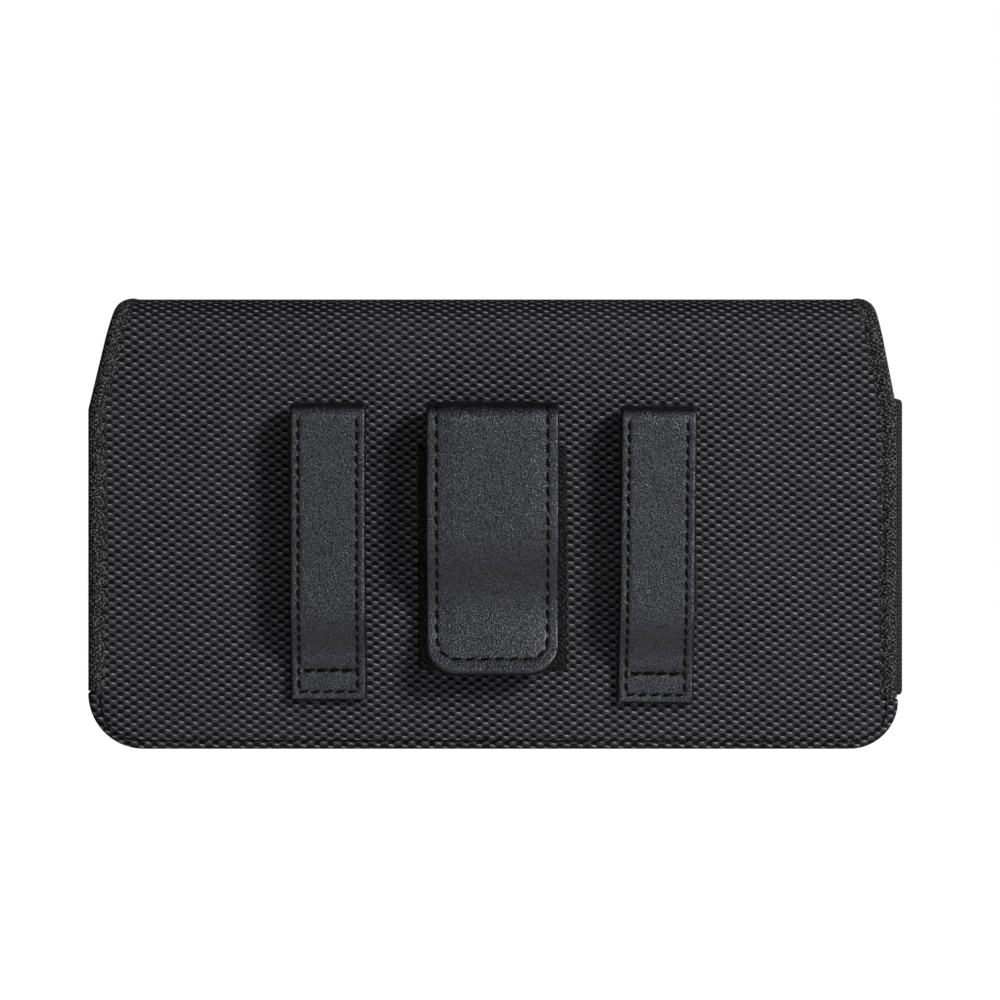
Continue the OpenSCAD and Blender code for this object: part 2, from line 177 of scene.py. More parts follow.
def resampled(line: Array, step: float) -> Array:
    """The same line with points at an even step, and its own ends kept."""
    total = lengths_along(line)[-1]
    return at_length(line, np.linspace(0, total, max(int(round(total / step)), 1) + 1))


def tangents(points: Array) -> Array:
    """Unit directions along a line of points, by central differences."""
    slope = np.gradient(points, axis=0)
    return slope / np.maximum(np.linalg.norm(slope, axis=-1, keepdims=True), TINY)


def left_of(way: Array) -> Array:
    """Flat directions given a quarter turn to the left."""
    return np.stack([-way[..., 1], way[..., 0]], axis=-1)


def inset_line(line: Array, inset: Array | float) -> Array:
    """Moves a flat line to its left, which is inwards on an outline from the top left to the top right."""
    return line + left_of(tangents(line)) * np.asarray(inset).reshape(-1, 1)


def round_over(distance: Array, radius: Array | float) -> Array:
    """How far a rounded edge drops at a distance in from it: a quarter circle of the radius."""
    inside = np.clip(radius - distance, 0, radius)
    return radius - np.sqrt(np.maximum(radius * radius - inside * inside, 0))


def ripple(flat: Array, height: float, lengths: Pair, phases: Pair = (0.0, 0.0)) -> Array:
    """The slow unevenness of cloth and leather: a sine across times a sine along."""
    across, along = (np.sin(flat[..., k] / lengths[k] + phases[k]) for k in (0, 1))
    return height * across * along


# Folds and patterns


@dataclass(frozen=True)
class Fold:
    """A line that a flat piece's outer face follows, in two axes, with its width along the third.

    Fields:
        line: points of the line, in Y and Z for a width along X, or in X and Y for a width along Z.
        across: axis of the width.
        outward: 1 if the outer face is on the left of the line's direction, -1 if on the right.
        start: the S that the line's first point has.
    """

    line: Array
    across: Across = Across.X
    outward: int = 1
    start: float = 0.0

    @property
    def length(self) -> float:
        """Length of the line."""
        return float(lengths_along(self.line)[-1])

    def lay(self, flat: Array, height: Array | float = 0.0) -> Array:
        """Carries flat places into space.

        A point is the line's point at S, plus the line's left normal times the height. Past its ends the
        line goes straight on.

        Args:
            flat: flat places, with a last axis of 2.
            height: height above the outer face.

        Returns:
            Points, with a last axis of 3, in millimetres.
        """
        along = flat[..., 1] - self.start
        inside = np.clip(along, 0, self.length)
        way = at_length(self.line, inside, tangents(self.line))
        way = way / np.maximum(np.linalg.norm(way, axis=-1, keepdims=True), TINY)
        rise = (np.asarray(height) * self.outward)[..., None]
        place = at_length(self.line, inside) + way * (along - inside)[..., None] + left_of(way) * rise
        order = [flat[..., :1], place] if self.across is Across.X else [place, flat[..., :1]]
        return np.concatenate(order, axis=-1)


@dataclass(frozen=True)
class Pattern:
    """A flat cut with straight or tapering sides, and round corners at its lower end.

    Fields:
        low: S of the lower edge.
        high: S of the upper edge.
        stations: S values at which the half widths are given.
        halves: half widths at the stations, on the left and on the right.
        corners: radii of the lower left and lower right corners.
    """

    low: float
    high: float
    stations: Array
    halves: tuple[Array, Array]
    corners: Pair

    @classmethod
    def strip(cls, half: float, low: float, high: float, corner: float) -> "Pattern":
        """A straight strip of one half width, with equal lower corners."""
        return cls(low, high, np.array([low, high]), (np.full(2, half),) * 2, (corner, corner))

    def half(self, side: Side, along: Array) -> Array:
        """Half width on one side at the distances along."""
        return np.interp(along, self.stations, self.halves[side > 0])

    def corner(self, side: Side) -> tuple[Array, float]:
        """Centre and radius of one lower corner."""
        radius = self.corners[side > 0]
        return np.array([side * (self.half(side, self.low) - radius), self.low + radius]), radius

    def side_line(self, side: Side) -> Array:
        """The side's edge, from the middle of its lower corner up to the top.

        Args:
            side: which side.

        Returns:
            Flat points of an eighth of a turn and then of the straight or tapering side.
        """
        centre, radius = self.corner(side)
        turn = arc(centre, radius, 225 if side < 0 else -45, 180 if side < 0 else 0, CORNER_STEPS)
        knots = np.unique(np.append(self.stations[self.stations > self.low + radius], self.high))
        return np.concatenate([turn, np.stack([side * self.half(side, knots), knots], axis=-1)])

    def lower_line(self) -> Array:
        """The lower edge, from the middle of the left corner to the middle of the right one."""
        angles = {Side.LEFT: (225, 270), Side.RIGHT: (270, 315)}
        return np.concatenate([arc(*self.corner(side), *angles[side], CORNER_STEPS) for side in Side])

    def outline(self) -> Array:
        """The whole free edge, from the top left, down, along the bottom and up to the top right."""
        left, right = self.side_line(Side.LEFT), self.side_line(Side.RIGHT)
        return np.concatenate([left[::-1], self.lower_line()[1:], right[1:]])

    def grid(self, fine: float, coarse: float, margin: float) -> Array:
        """Fills the outline with a grid whose rows and columns crowd towards the edges.

        It is a transfinite blend: each point is the blend of the two sides, plus the blend of the lower
        and upper edges, less the blend of the four corners.

        Args:
            fine: step near the edges.
            coarse: step in the middle.
            margin: how far from an edge the steps stay fine.

        Returns:
            Flat points of shape (rows, columns, 2).
        """
        width = float(self.half(Side.LEFT, self.low) + self.half(Side.RIGHT, self.low))
        rows = graded(self.high - self.low, fine, coarse, margin)
        columns = graded(width, fine, coarse, margin)
        v, u = rows / rows[-1], columns / columns[-1]
        left, right, lower = (
            at_length(line, share * lengths_along(line)[-1])
            for line, share in ((self.side_line(Side.LEFT), v), (self.side_line(Side.RIGHT), v),
                                (self.lower_line(), u)))
        upper = left[-1] + (right[-1] - left[-1]) * u[:, None]
        v, u = v[:, None, None], u[None, :, None]
        sides = (1 - u) * left[:, None] + u * right[:, None]
        ends = (1 - v) * lower[None] + v * upper[None]
        corners = (1 - v) * ((1 - u) * left[0] + u * right[0]) + v * ((1 - u) * left[-1] + u * right[-1])
        return sides + ends - corners

    def edge_distance(self, flat: Array) -> Array:
        """How far flat points lie inside the sides, the lower edge and the round corners.

        Args:
            flat: flat points, with a last axis of 2.

        Returns:
            Distances, never below 0.
        """
        across, along = flat[..., 0], flat[..., 1]
        distance = along - self.low
        for side in Side:
            distance = np.minimum(distance, self.half(side, along) - side * across)
        for side in Side:
            centre, radius = self.corner(side)
            inside = (side * (across - centre[0]) > 0) & (along < centre[1])
            reach = radius - np.hypot(across - centre[0], along - centre[1])
            distance = np.where(inside, np.minimum(distance, reach), distance)
        return np.maximum(distance, 0)


# Meshes


def as_object(name: str, points: Array, faces: Array, uv: Array, groove: Array | None = None) -> Thing:
    """Makes an object with its place in its mesh, doubled points merged and every face turned outwards.

    Args:
        name: the piece's name.
        points: vertices of shape (n, 3), in millimetres.
        faces: vertex numbers of shape (m, 4).
        uv: one pair for each vertex, in millimetres of cloth.
        groove: how deep each vertex lies in a stitched hole, kept for painted shade there, or None.

    Returns:
        The new object, linked to the scene.
    """
    mesh = bpy.data.meshes.new(name)
    mesh.from_pydata((points * MM).tolist(), [], faces.tolist())
    layer = mesh.uv_layers.new(name="cloth")
    layer.data.foreach_set("uv", (uv[faces.reshape(-1)] * MM).astype(np.float32).reshape(-1))
    if groove is not None:
        # Painted shade: the materials darken the colour by this attribute in stitched grooves and holes.
        attribute = mesh.attributes.new("groove", "FLOAT", "POINT")
        attribute.data.foreach_set("value", groove.astype(np.float32))
    work = bmesh.new()
    work.from_mesh(mesh)
    bmesh.ops.remove_doubles(work, verts=work.verts, dist=MERGE_DISTANCE)
    bmesh.ops.dissolve_degenerate(work, edges=work.edges, dist=LEAST_FACE)
    bmesh.ops.recalc_face_normals(work, faces=work.faces)
    work.to_mesh(mesh)
    work.free()
    mesh.polygons.foreach_set("use_smooth", np.ones(len(mesh.polygons), bool))
    mesh.update()
    return linked(name, mesh)


def linked(name: str, data: bpy.types.ID) -> Thing:
    """Makes an object from a mesh, light or camera and links it to the scene.

    Args:
        name: the object's name.
        data: what it shows.

    Returns:
        The object.
    """
    made = bpy.data.objects.new(name, data)
    bpy.context.scene.collection.objects.link(made)
    return made


def quads(rows: int, columns: int, wrap: bool = False) -> Array:
    """Vertex numbers of the quads of a grid stored row by row.

    Args:
        rows: number of rows.
        columns: number of columns.
        wrap: whether the last column joins the first.

    Returns:
        Faces of shape (m, 4).
    """
    index = np.arange(rows * columns).reshape(rows, columns)
    if wrap:
        index = np.concatenate([index, index[:, :1]], axis=1)
    return np.stack([index[:-1, :-1], index[:-1, 1:], index[1:, 1:], index[1:, :-1]], axis=-1).reshape(-1, 4)


def shell(name: str, outer: Array, inner: Array, flat: Array, groove: Array | float = 0.0) -> Thing:
    """Makes a closed sheet from its outer and inner grids, joined all round by a strip of quads.

    The inner side's pattern is slid by the thickness, so that it isn't drawn out across the joining strip.

    Args:
        name: the piece's name.
        outer: grid of outer points, of shape (rows, columns, 3).
        inner: grid of inner points, of the same shape.
        flat: grid of flat places, for the pattern on the cloth.
        groove: how deep each place lies in a stitched hole.

    Returns:
        The new object.
    """
    rows, columns = outer.shape[:2]
    count = rows * columns
    index = np.arange(count).reshape(rows, columns)
    ring = np.concatenate([index[0], index[1:, -1], index[-1, -2::-1], index[-2:0:-1, 0]])
    following = np.roll(ring, -1)
    rim = np.stack([ring, ring + count, following + count, following], axis=-1)
    faces = np.concatenate([quads(rows, columns), quads(rows, columns)[:, ::-1] + count, rim])
    slid = 0.75 * np.linalg.norm(outer - inner, axis=-1).mean()
    uv = np.concatenate([flat.reshape(-1, 2), flat.reshape(-1, 2) + slid])
    points = np.concatenate([outer.reshape(-1, 3), inner.reshape(-1, 3)])
    depths = np.broadcast_to(groove, (rows, columns)).reshape(-1)
    made = as_object(name, points, faces, uv, np.concatenate([depths, depths]))
    made.data.set_sharp_from_angle(angle=math.radians(SHARP_DEGREES))
    return made


def layer(name: str, fold: Fold, flat: Array, top: Array | float, bottom: Array | float,
          groove: Array | float = 0.0, cloth: Array | None = None) -> Thing:
    """Makes a closed sheet between two heights over a fold.

    Args:
        name: the piece's name.
        fold: the fold that carries it.
        flat: grid of flat places.
        top: height of the outer side.
        bottom: height of the inner side.
        groove: how deep each place lies in a stitched hole.
        cloth: flat places for the pattern on the cloth, or None for flat itself.

    Returns:
        The new object.
    """
    return shell(name, fold.lay(flat, top), fold.lay(flat, bottom), flat if cloth is None else cloth, groove)


def swept(name: str, rings: Array, uv: Array) -> Thing:
    """Makes closed tubes from rings of points, each tube closed by drawing its end rings to their middles.

    Args:
        name: the piece's name.
        rings: points of shape (tubes, rings, points, 3).
        uv: flat places of shape (tubes, rings, points, 2).

    Returns:
        The new object.
    """
    tubes, count, around = rings.shape[:3]
    ends = rings[:, [0, -1]].mean(axis=2, keepdims=True).repeat(around, axis=2)
    points = np.concatenate([ends[:, :1], rings, ends[:, 1:]], axis=1)
    flat = np.concatenate([uv[:, :1], uv, uv[:, -1:]], axis=1)
    first = (np.arange(tubes) * (count + 2) * around)[:, None, None]
    faces = (quads(count + 2, around, wrap=True)[None] + first).reshape(-1, 4)
    return as_object(name, points.reshape(-1, 3), faces, flat.reshape(-1, 2))


# Stitching


@dataclass(frozen=True)
class Seam:
    """A row of stitches on a folded piece.

    Fields:
        line: flat points that the row follows.
        pitch: distance from one needle hole to the next.
        thread: radius of the thread.
        gap: part of each pitch where the thread is under the surface.
        press: how deep the row presses into the piece.
        spread: how wide the pressed groove is.
        slant: how far each stitch leans from one side of the row to the other.
        around: points round a thread.
        rings: rings along a stitch.
        hole_size: how far a needle hole reaches along the row.
        row_step: step at which distances to the row are measured.
        batch: how many points are measured at once.
    """

    line: Array
    pitch: float = 2.75
    thread: float = 0.2
    gap: float = 0.7
    press: float = 0.22
    spread: float = 0.55
    slant: float = 0.3
    around: int = 6
    rings: int = 7
    hole_size: float = 0.45
    row_step: float = 0.2
    batch: int = 4000

    def fitted(self) -> tuple[int, float]:
        """How many stitches fill the row, and their pitch eased to that.

        Returns:
            The number of stitches and their pitch.
        """
        total = lengths_along(self.line)[-1]
        count = max(int(round(total / self.pitch)), 1)
        return count, float(total / count)

    def relief(self, flat: Array) -> tuple[Array, Array]:
        """How the row changes the surface round it.

        The groove is a bell curve of the distance to the row, a little deeper at each needle hole.

        Args:
            flat: flat points, with a last axis of 2.

        Returns:
            The drop of the surface, and how strongly each point belongs to a hole, from 0 to 1.
        """
        row = resampled(self.line, self.row_step)
        along = lengths_along(row)
        points = flat.reshape(-1, 2)
        low, high = row.min(axis=0) - 3 * self.spread, row.max(axis=0) + 3 * self.spread
        near = np.nonzero(np.all((points > low) & (points < high), axis=1))[0]
        distance, place = np.full(len(points), 1e3), np.zeros(len(points))
        for chunk in np.array_split(near, max(len(near) // self.batch, 1)):
            gaps = np.linalg.norm(points[chunk, None] - row[None], axis=-1)
            nearest = gaps.argmin(axis=1)
            distance[chunk], place[chunk] = gaps[np.arange(len(chunk)), nearest], along[nearest]
        bell = np.exp(-((distance / self.spread) ** 2))
        _, pitch = self.fitted()
        beside = np.abs((place / pitch + 0.5) % 1 - 0.5) * pitch
        hole = np.exp(-((beside / self.hole_size) ** 2) - (distance / (0.75 * self.spread)) ** 2)
        drop = self.press * (0.75 * bell + 0.5 * hole)
        return drop.reshape(flat.shape[:-1]), hole.reshape(flat.shape[:-1])

    def threads(self, name: str, fold: Fold, base: float) -> Thing:
        """Makes the threads as short closed tubes that rise out of one hole and sink into the next.

        A tube's middle follows the row, its height is an arch of sine form, and its radius thins at the ends.

        Args:
            name: the piece's name.
            fold: the fold that carries the flat row into space.
            base: height of the surface under the thread.

        Returns:
            One object with every stitch of the row.
        """
        count, pitch = self.fitted()
        share = np.linspace(0, 1, self.rings)
        place = pitch * (np.arange(count)[:, None] + 0.5) + (pitch - self.gap) * (share - 0.5)[None]
        middle = at_length(self.line, place)
        sideways = left_of(at_length(self.line, place, tangents(self.line)))
        arch = np.sqrt(np.sin(np.pi * share))
        thick = self.thread * (0.45 + 0.55 * arch)
        rise = base - 1.1 * self.thread + 1.5 * self.thread * arch
        angle = 2 * np.pi * np.arange(self.around) / self.around
        beside = self.slant * (share - 0.5)[:, None] + thick[:, None] * np.cos(angle)
        flat = middle[:, :, None] + sideways[:, :, None] * beside[None, :, :, None]
        height = np.broadcast_to(rise[:, None] + thick[:, None] * np.sin(angle), flat.shape[:-1])
        uv = np.stack(np.broadcast_arrays(angle * self.thread, place[:, :, None]), axis=-1)
        return swept(name, fold.lay(flat, height), uv)


# The holster's sizes


@dataclass(frozen=True)
class Crease:
    """A place where a piece bends from one body to the next, between two places in millimetres."""

    first: Body
    second: Body
    start: Place
    end: Place


@dataclass(frozen=True)
class Layout:
    """Sizes that several sub-assemblies share, in the frame's axes.

    Pairs hold the left and the right side.
    """

    back_half: float
    top_halves: Pair
    gusset_z: Pair
    bottom_z: float
    mouth_z: float
    crease_z: float
    top_z: float
    seam_y: float
    front_y: float
    flap_lining_y: float
    flap_y: float
    hem_z: float
    flares: Pair = (0.6, 0.85)
    flare_run: float = 0.5
    taper_z: float = 28.0
    flap_corner: float = 10.0
    cover_t: float = 0.8
    lining_t: float = 0.6
    board_t: float = 1.2
    front_board_t: float = 1.0
    tape_t: float = 0.5
    tape_tuck: float = 1.0
    seam_w: float = 3.0
    face_inset: float = 8.0
    gusset_front_y: float = 13.0
    above_corner: float = 0.6
    crown_dip: float = 1.7
    crown_reach: float = 3.3
    crease_below: float = 4.0
    crease_above: float = 2.0

    @classmethod
    def read(cls) -> "Layout":
        """Reads the sizes from the boxes of the frame's nodes.

        Returns:
            The layout, in millimetres.
        """
        back, spine, lining, front, flap, flap_lining, left, right = (
            np.array(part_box(node)) / MM for node in (
                "back_cover", "spine_cover", "back_lining", "front_cover", "flap_cover", "flap_lining",
                "left_gusset", "right_gusset"))
        return cls(
            back_half=back[1, 0], top_halves=(-flap[0, 0], flap[1, 0]), gusset_z=(left[0, 2], right[0, 2]),
            bottom_z=back[0, 2], mouth_z=front[1, 2], crease_z=back[1, 2], top_z=spine[1, 2],
            seam_y=lining[1, 1], front_y=front[1, 1], flap_lining_y=flap_lining[0, 1], flap_y=flap[1, 1],
            hem_z=flap[0, 2])

    @property
    def corners(self) -> Pair:
        """Radii of the back's lower corners, which end just below the gussets."""
        return tuple(z - self.above_corner - self.bottom_z for z in self.gusset_z)

    @property
    def fold_r(self) -> float:
        """Radius of the fold's two corners."""
        return self.top_z - self.crease_z

    @property
    def middle_y(self) -> float:
        """Depth of the middle of the fold, where the rear and front skins meet."""
        return self.flap_y / 2

    def half_at(self, side: Side, z: Array) -> Array:
        """Half width of the back: straight, then leaning in by a straight line up to the top."""
        slope = (self.back_half - self.top_halves[side > 0]) / (self.top_z - self.taper_z)
        return self.back_half - np.maximum(0, z - self.taper_z) * slope

    def flared(self, side: Side, along: Array) -> Array:
        """How far a lower corner stands out below the end of the tape, with an eased step."""
        end = self.gusset_z[side > 0]
        return self.flares[side > 0] * smoothstep(end, end - self.flare_run, along)

    def drawn_in(self, along: Array, high: float) -> Array:
        """How far the edges are pulled in over the crown: a bell curve of the distance from its flat top."""
        away = np.maximum(high - (self.middle_y - self.fold_r) - along, 0)
        return self.crown_dip * np.exp(-((away / self.crown_reach) ** 2))

    def skin_fold(self, rear: bool) -> Fold:
        """The rear or front skin's face: up the board, round a quarter circle and on to the crown.

        Args:
            rear: whether it is the back's skin or the flap's.

        Returns:
            The fold, whose S is Z along the board.
        """
        radius, middle = self.fold_r, (self.middle_y, self.top_z)
        if rear:
            turn = arc((radius, self.crease_z), radius, 180, 90, 40)
            return Fold(np.vstack([(0, self.bottom_z), turn, middle]), start=self.bottom_z)
        turn = arc((self.flap_y - radius, self.crease_z), radius, 0, 90, 40)
        return Fold(np.vstack([(self.flap_y, self.hem_z), turn, middle]), start=self.hem_z, outward=-1)

    def skin_pattern(self, rear: bool, inset: float = 0.0) -> Pattern:
        """The rear or front skin's flat cut.

        Args:
            rear: whether it is the back's skin or the flap's.
            inset: how far its free edges are drawn in.

        Returns:
            The pattern, with knots where a side bends.
        """
        fold = self.skin_fold(rear)
        low, high = fold.start, fold.start + fold.length
        over = np.linspace(self.crease_z, high, 24)
        if rear:
            drops = (self.flare_run, self.flare_run / 2, 0)
            ends = [z - drop for z in sorted(self.gusset_z) for drop in drops]
            knots = np.concatenate([[low], ends, [self.taper_z], over])
            heights = fold.lay(np.stack([0 * knots, knots], axis=-1))[:, 2]
            wide = [self.half_at(side, heights) + self.flared(side, knots) for side in Side]
            corners = self.corners
        else:
            knots = np.concatenate([[low], over])
            wide, corners = self.top_halves, (self.flap_corner,) * 2
        less = inset + self.drawn_in(knots, high)
        return Pattern(low + inset, high, knots, tuple(half - less for half in wide),
                       tuple(radius - inset for radius in corners))

    def crease(self, rear: bool) -> Crease:
        """Where a skin and its tape turn from one body to the next.

        Args:
            rear: whether it is the crease at the back or at the flap.

        Returns:
            The crease, from a little below it to a little above, or the other way at the flap.
        """
        y = 0 if rear else self.flap_y
        low, high = (0, y, self.crease_z - self.crease_below), (0, y, self.crease_z + self.crease_above)
        if rear:
            return Crease(Body.POUCH, Body.SPINE, low, high)
        return Crease(Body.SPINE, Body.FLAP, high, low)


# Node helpers


class NodeBench:
    """Adds nodes to a tree and joins them."""

    def __init__(self, tree: bpy.types.NodeTree) -> None:
        """Works on the given tree."""
        self.tree = tree

    def put(self, socket: Socket, value: object) -> None:
        """Links a socket to the input, or sets its value, with full opacity for a colour.

        Args:
            socket: the input.
            value: a socket, a number, a vector or an Rgb for a colour input.
        """
        if isinstance(value, Socket):
            self.tree.links.new(value, socket)
        elif socket.type == "RGBA":
            socket.default_value = (*value[:3], 1.0)
        else:
            socket.default_value = value

    def add(self, kind: str, inputs: dict[str | int, object] | None = None,
            **settings: object) -> bpy.types.Node:
        """Adds a node.

        Args:
            kind: the node's type name.
            inputs: values or sockets for its inputs, by name or number.
            settings: attributes to set on the node.

        Returns:
            The node.
        """
        node = self.tree.nodes.new(kind)
        for key, value in settings.items():
            setattr(node, key, value)
        for key, value in (inputs or {}).items():
            self.put(node.inputs[key], value)
        return node

    def math(self, operation: str, *values: Value, clamp: bool = False) -> Socket:
        """Adds one step of arithmetic on one or two values and returns its result."""
        node = self.add("ShaderNodeMath", dict(enumerate(values)), operation=operation, use_clamp=clamp)
        return node.outputs[0]

    def times(self, *values: Value) -> Socket:
        """Multiplies values."""
        return reduce(lambda product, value: self.math("MULTIPLY", product, value), values)

    def plus(self, *values: Value) -> Socket:
        """Adds values up."""
        return reduce(lambda total, value: self.math("ADD", total, value), values)

    def less(self, *values: Value) -> Socket:
        """Takes the other values from the first."""
        return reduce(lambda rest, value: self.math("SUBTRACT", rest, value), values)

    def ramp(self, value: Value, low: float, high: float, to_low: float = 0.0,
             to_high: float = 1.0) -> Socket:
        """Maps a range to another with smooth ends, held at both ends."""
        inputs = {"Value": value, "From Min": low, "From Max": high, "To Min": to_low, "To Max": to_high}
        return self.add("ShaderNodeMapRange", inputs, interpolation_type="SMOOTHSTEP").outputs["Result"]

    def mix(self, share: Value, first: Socket | Rgb, second: Socket | Rgb, blend: str = "MIX") -> Socket:
        """Mixes two colours."""
        inputs = {0: share, 6: first, 7: second}
        return self.add("ShaderNodeMix", inputs, data_type="RGBA", blend_type=blend).outputs[2]

    def noise(self, place: Socket, scale: float, detail: float = 2.0, stretch: Place = (1, 1, 1)) -> Socket:
        """Adds noise at a scale in cells a metre, stretched along the axes."""
        shaped = self.add("ShaderNodeMapping", {"Vector": place, "Scale": stretch}).outputs[0]
        return self.add("ShaderNodeTexNoise", {"Vector": shaped, "Scale": scale, "Detail": detail}).outputs[0]

    def facing_away(self) -> Socket:
        """How far the surface turns from the eye."""
        return self.add("ShaderNodeLayerWeight", {"Blend": 0.5}).outputs["Facing"]


class EffectGroup:
    """A shader node group on a place, with named numbers going in and out, built once."""

    name = "effect"
    inputs: dict[str, float] = {}

    def __init__(self) -> None:
        """Makes a socket for each number, and for each result that the subclass works out from them."""
        self.tree = bpy.data.node_groups.new(self.name, "ShaderNodeTree")
        face = self.tree.interface
        face.new_socket("Place", in_out="INPUT", socket_type="NodeSocketVector")
        for name, value in self.inputs.items():
            face.new_socket(name, in_out="INPUT", socket_type="NodeSocketFloat").default_value = value
        bench = NodeBench(self.tree)
        results = self.fill(bench, bench.add("NodeGroupInput").outputs)
        for name in results:
            face.new_socket(name, in_out="OUTPUT", socket_type="NodeSocketFloat")
        bench.add("NodeGroupOutput", results)

    def fill(self, bench: NodeBench, given: bpy.types.NodeOutputs) -> dict[str, Socket]:
        """Works out the results.

        Args:
            bench: the group's bench.
            given: what goes into the group, by name.

        Returns:
            The results, by the names that they have as outputs.
        """
        raise NotImplementedError

    def use(self, bench: NodeBench, place: Socket,
            values: dict[str, float] | None = None) -> bpy.types.NodeOutputs:
        """Places the group in a material, with its own values, and returns what it gives."""
        inputs = {"Place": place, **(values or {})}
        return bench.add("ShaderNodeGroup", inputs, node_tree=self.tree).outputs


class PlainWeave(EffectGroup):
    """Two sets of yarns that cross over and under each other, in cells like a chequerboard.

    With X and Z counted in yarns, a cell shows the weft where sin(pi X) sin(pi Z) is above 0 and the warp
    elsewhere. A warp float dives into a round hollow, an ellipse in the lower part of its cell, which the
    Shade output marks for painted shade. The Glint output marks a painted highlight along the upper edge of
    the weft float below the hollow.
    """

    hollow_wide = 0.63
    hollow_tall = 0.8
    hollow_at = 0.37
    crown_drop = 0.35
    fibre_relief = 0.14
    dash_lean = 0.4

    name = "plain_weave"
    inputs = {"Warp Pitch": 0.001453, "Weft Pitch": 0.000957, "Lean": 0.017, "Fall": 0.0474,
              "Relief": 0.00026, "Waver": 0.1}

    def fill(self, bench: NodeBench, given: bpy.types.NodeOutputs) -> dict[str, Socket]:
        """Builds the yarns, the hollows between them, the masks of painted glints and shade, and the fibres
        along them.

        Args:
            bench: the group's bench.
            given: what goes into the group.

        Returns:
            The height in metres, the mask of painted shade in the hollows, the fibres and the mask
            of painted glints.
        """
        m, times, plus, less, ramp, noise = (
            bench.math, bench.times, bench.plus, bench.less, bench.ramp, bench.noise)
        place, unrest = given["Place"], given["Waver"]
        x, y, _ = bench.add("ShaderNodeSeparateXYZ", {0: place}).outputs
        sway = times(less(noise(place, 420), 0.5), unrest)
        sway_up = times(less(noise(place, 480, 2, (1, 1.7, 1)), 0.5), unrest)
        column = plus(m("DIVIDE", plus(x, times(y, given["Lean"])), given["Warp Pitch"]), sway)
        row = plus(m("DIVIDE", plus(y, times(x, given["Fall"])), given["Weft Pitch"]), sway_up)
        across, up = (m("SINE", times(count, math.pi)) for count in (column, row))
        over = m("GREATER_THAN", times(across, up), 0.0)
        under = less(1.0, over)
        middle = m("ABSOLUTE", across)
        part, off_middle = m("FRACT", row), less(m("FRACT", column), 0.5)
        beside = m("DIVIDE", off_middle, self.hollow_wide)
        above = m("DIVIDE", less(part, self.hollow_at), self.hollow_tall)
        reach = plus(times(beside, beside), times(above, above))
        size = ramp(noise(place, 900, 1), 0.25, 0.75, 0.7, 1.35)
        # Painted shade: the finishes darken the colour in this hollow mask, through the Shade output.
        hollow = times(less(1.0, ramp(m("DIVIDE", reach, size), 0.14, 1.0)), under)
        crown = times(ramp(part, 0.72, 1.0), over, self.crown_drop)
        level = less(plus(0.78, times(m("POWER", middle, 0.5), 0.22)), hollow, crown)
        fibre = plus(times(noise(place, 2400, 2, (0.35, 3.2, 1)), over),
                     times(noise(place, 2400, 2, (3.2, 0.35, 1)), under))
        slant = plus(part, times(off_middle, self.dash_lean))
        dash = times(ramp(slant, 0.5, 0.74), less(1.0, ramp(slant, 0.94, 1.08)))
        # Painted highlight: a lighter stripe on the upper edge of each weft float, taken into the colour.
        glint = times(dash, over, ramp(middle, 0.35, 0.8), ramp(noise(place, 800), 0.3, 0.65, 0.3, 1.0))
        height = times(plus(level, times(fibre, self.fibre_relief)), given["Relief"])
        return {"Height": height, "Shade": less(1.0, hollow), "Fibre": fibre, "Glint": glint}


class RibbedTape(EffectGroup):
    """Ribs across a narrow tape: half waves of |sin| along it, crossed by finer lines.

    The height is the rib's depth times |sin(pi v / rib)| |sin(pi u / line)|, plus a little of the lines.
    """

    name = "ribbed_tape"
    inputs = {"Rib": 0.00066, "Line": 0.0004, "Depth": 0.0001}

    def fill(self, bench: NodeBench, given: bpy.types.NodeOutputs) -> dict[str, Socket]:
        """Builds the ribs, their hollows and the fibres.

        Args:
            bench: the group's bench.
            given: what goes into the group.

        Returns:
            The height in metres, the shade and the fibres.
        """
        m, times, plus, place = bench.math, bench.times, bench.plus, given["Place"]
        x, y, _ = bench.add("ShaderNodeSeparateXYZ", {0: place}).outputs
        waver = times(bench.less(bench.noise(place, 500, 1), 0.5), 0.5)
        ribs, lines = plus(m("DIVIDE", y, given["Rib"]), waver), m("DIVIDE", x, given["Line"])
        rib, line = (m("ABSOLUTE", m("SINE", times(count, math.pi))) for count in (ribs, lines))
        shade = plus(times(rib, line, 0.85), times(line, 0.15))
        fibre = bench.noise(place, 3000, 2, (1.5, 0.8, 1))
        height = times(given["Depth"], plus(shade, times(fibre, 0.4)))
        return {"Height": height, "Shade": shade, "Fibre": fibre}


class HideGrain(EffectGroup):
    """The grain of leather: fine pebbles, cells with soft creases between them, and a slow change of tone."""

    name = "hide_grain"
    inputs = {"Cell": 1100.0, "Depth": 0.00006}

    def fill(self, bench: NodeBench, given: bpy.types.NodeOutputs) -> dict[str, Socket]:
        """Builds the pebbles and their finer tone, the creases between cells and the slow change of tone.

        Args:
            bench: the group's bench.
            given: what goes into the group.

        Returns:
            The height in metres, the slow tone and the fine tone.
        """
        place = given["Place"]
        bend = bench.add("ShaderNodeTexNoise", {"Vector": place, "Scale": 700.0, "Detail": 1.0}).outputs[1]
        reach = (0.0007,) * 3
        shift = bench.add("ShaderNodeVectorMath", {0: bend, 1: reach}, operation="MULTIPLY").outputs[0]
        bent = bench.add("ShaderNodeVectorMath", {0: place, 1: shift}, operation="ADD").outputs[0]
        cells = bench.add("ShaderNodeTexVoronoi", {"Vector": bent, "Scale": given["Cell"]},
                          feature="DISTANCE_TO_EDGE").outputs[0]
        pebble = bench.ramp(bench.noise(place, 2300, 1), 0.4, 0.62)
        relief = bench.plus(bench.times(bench.ramp(cells, 0.0, 0.16), 0.35), bench.times(pebble, 0.8))
        return {"Height": bench.times(given["Depth"], relief), "Mottle": bench.noise(place, 90, 3),
                "Tone": bench.ramp(bench.noise(bent, 3300, 1), 0.44, 0.62)}


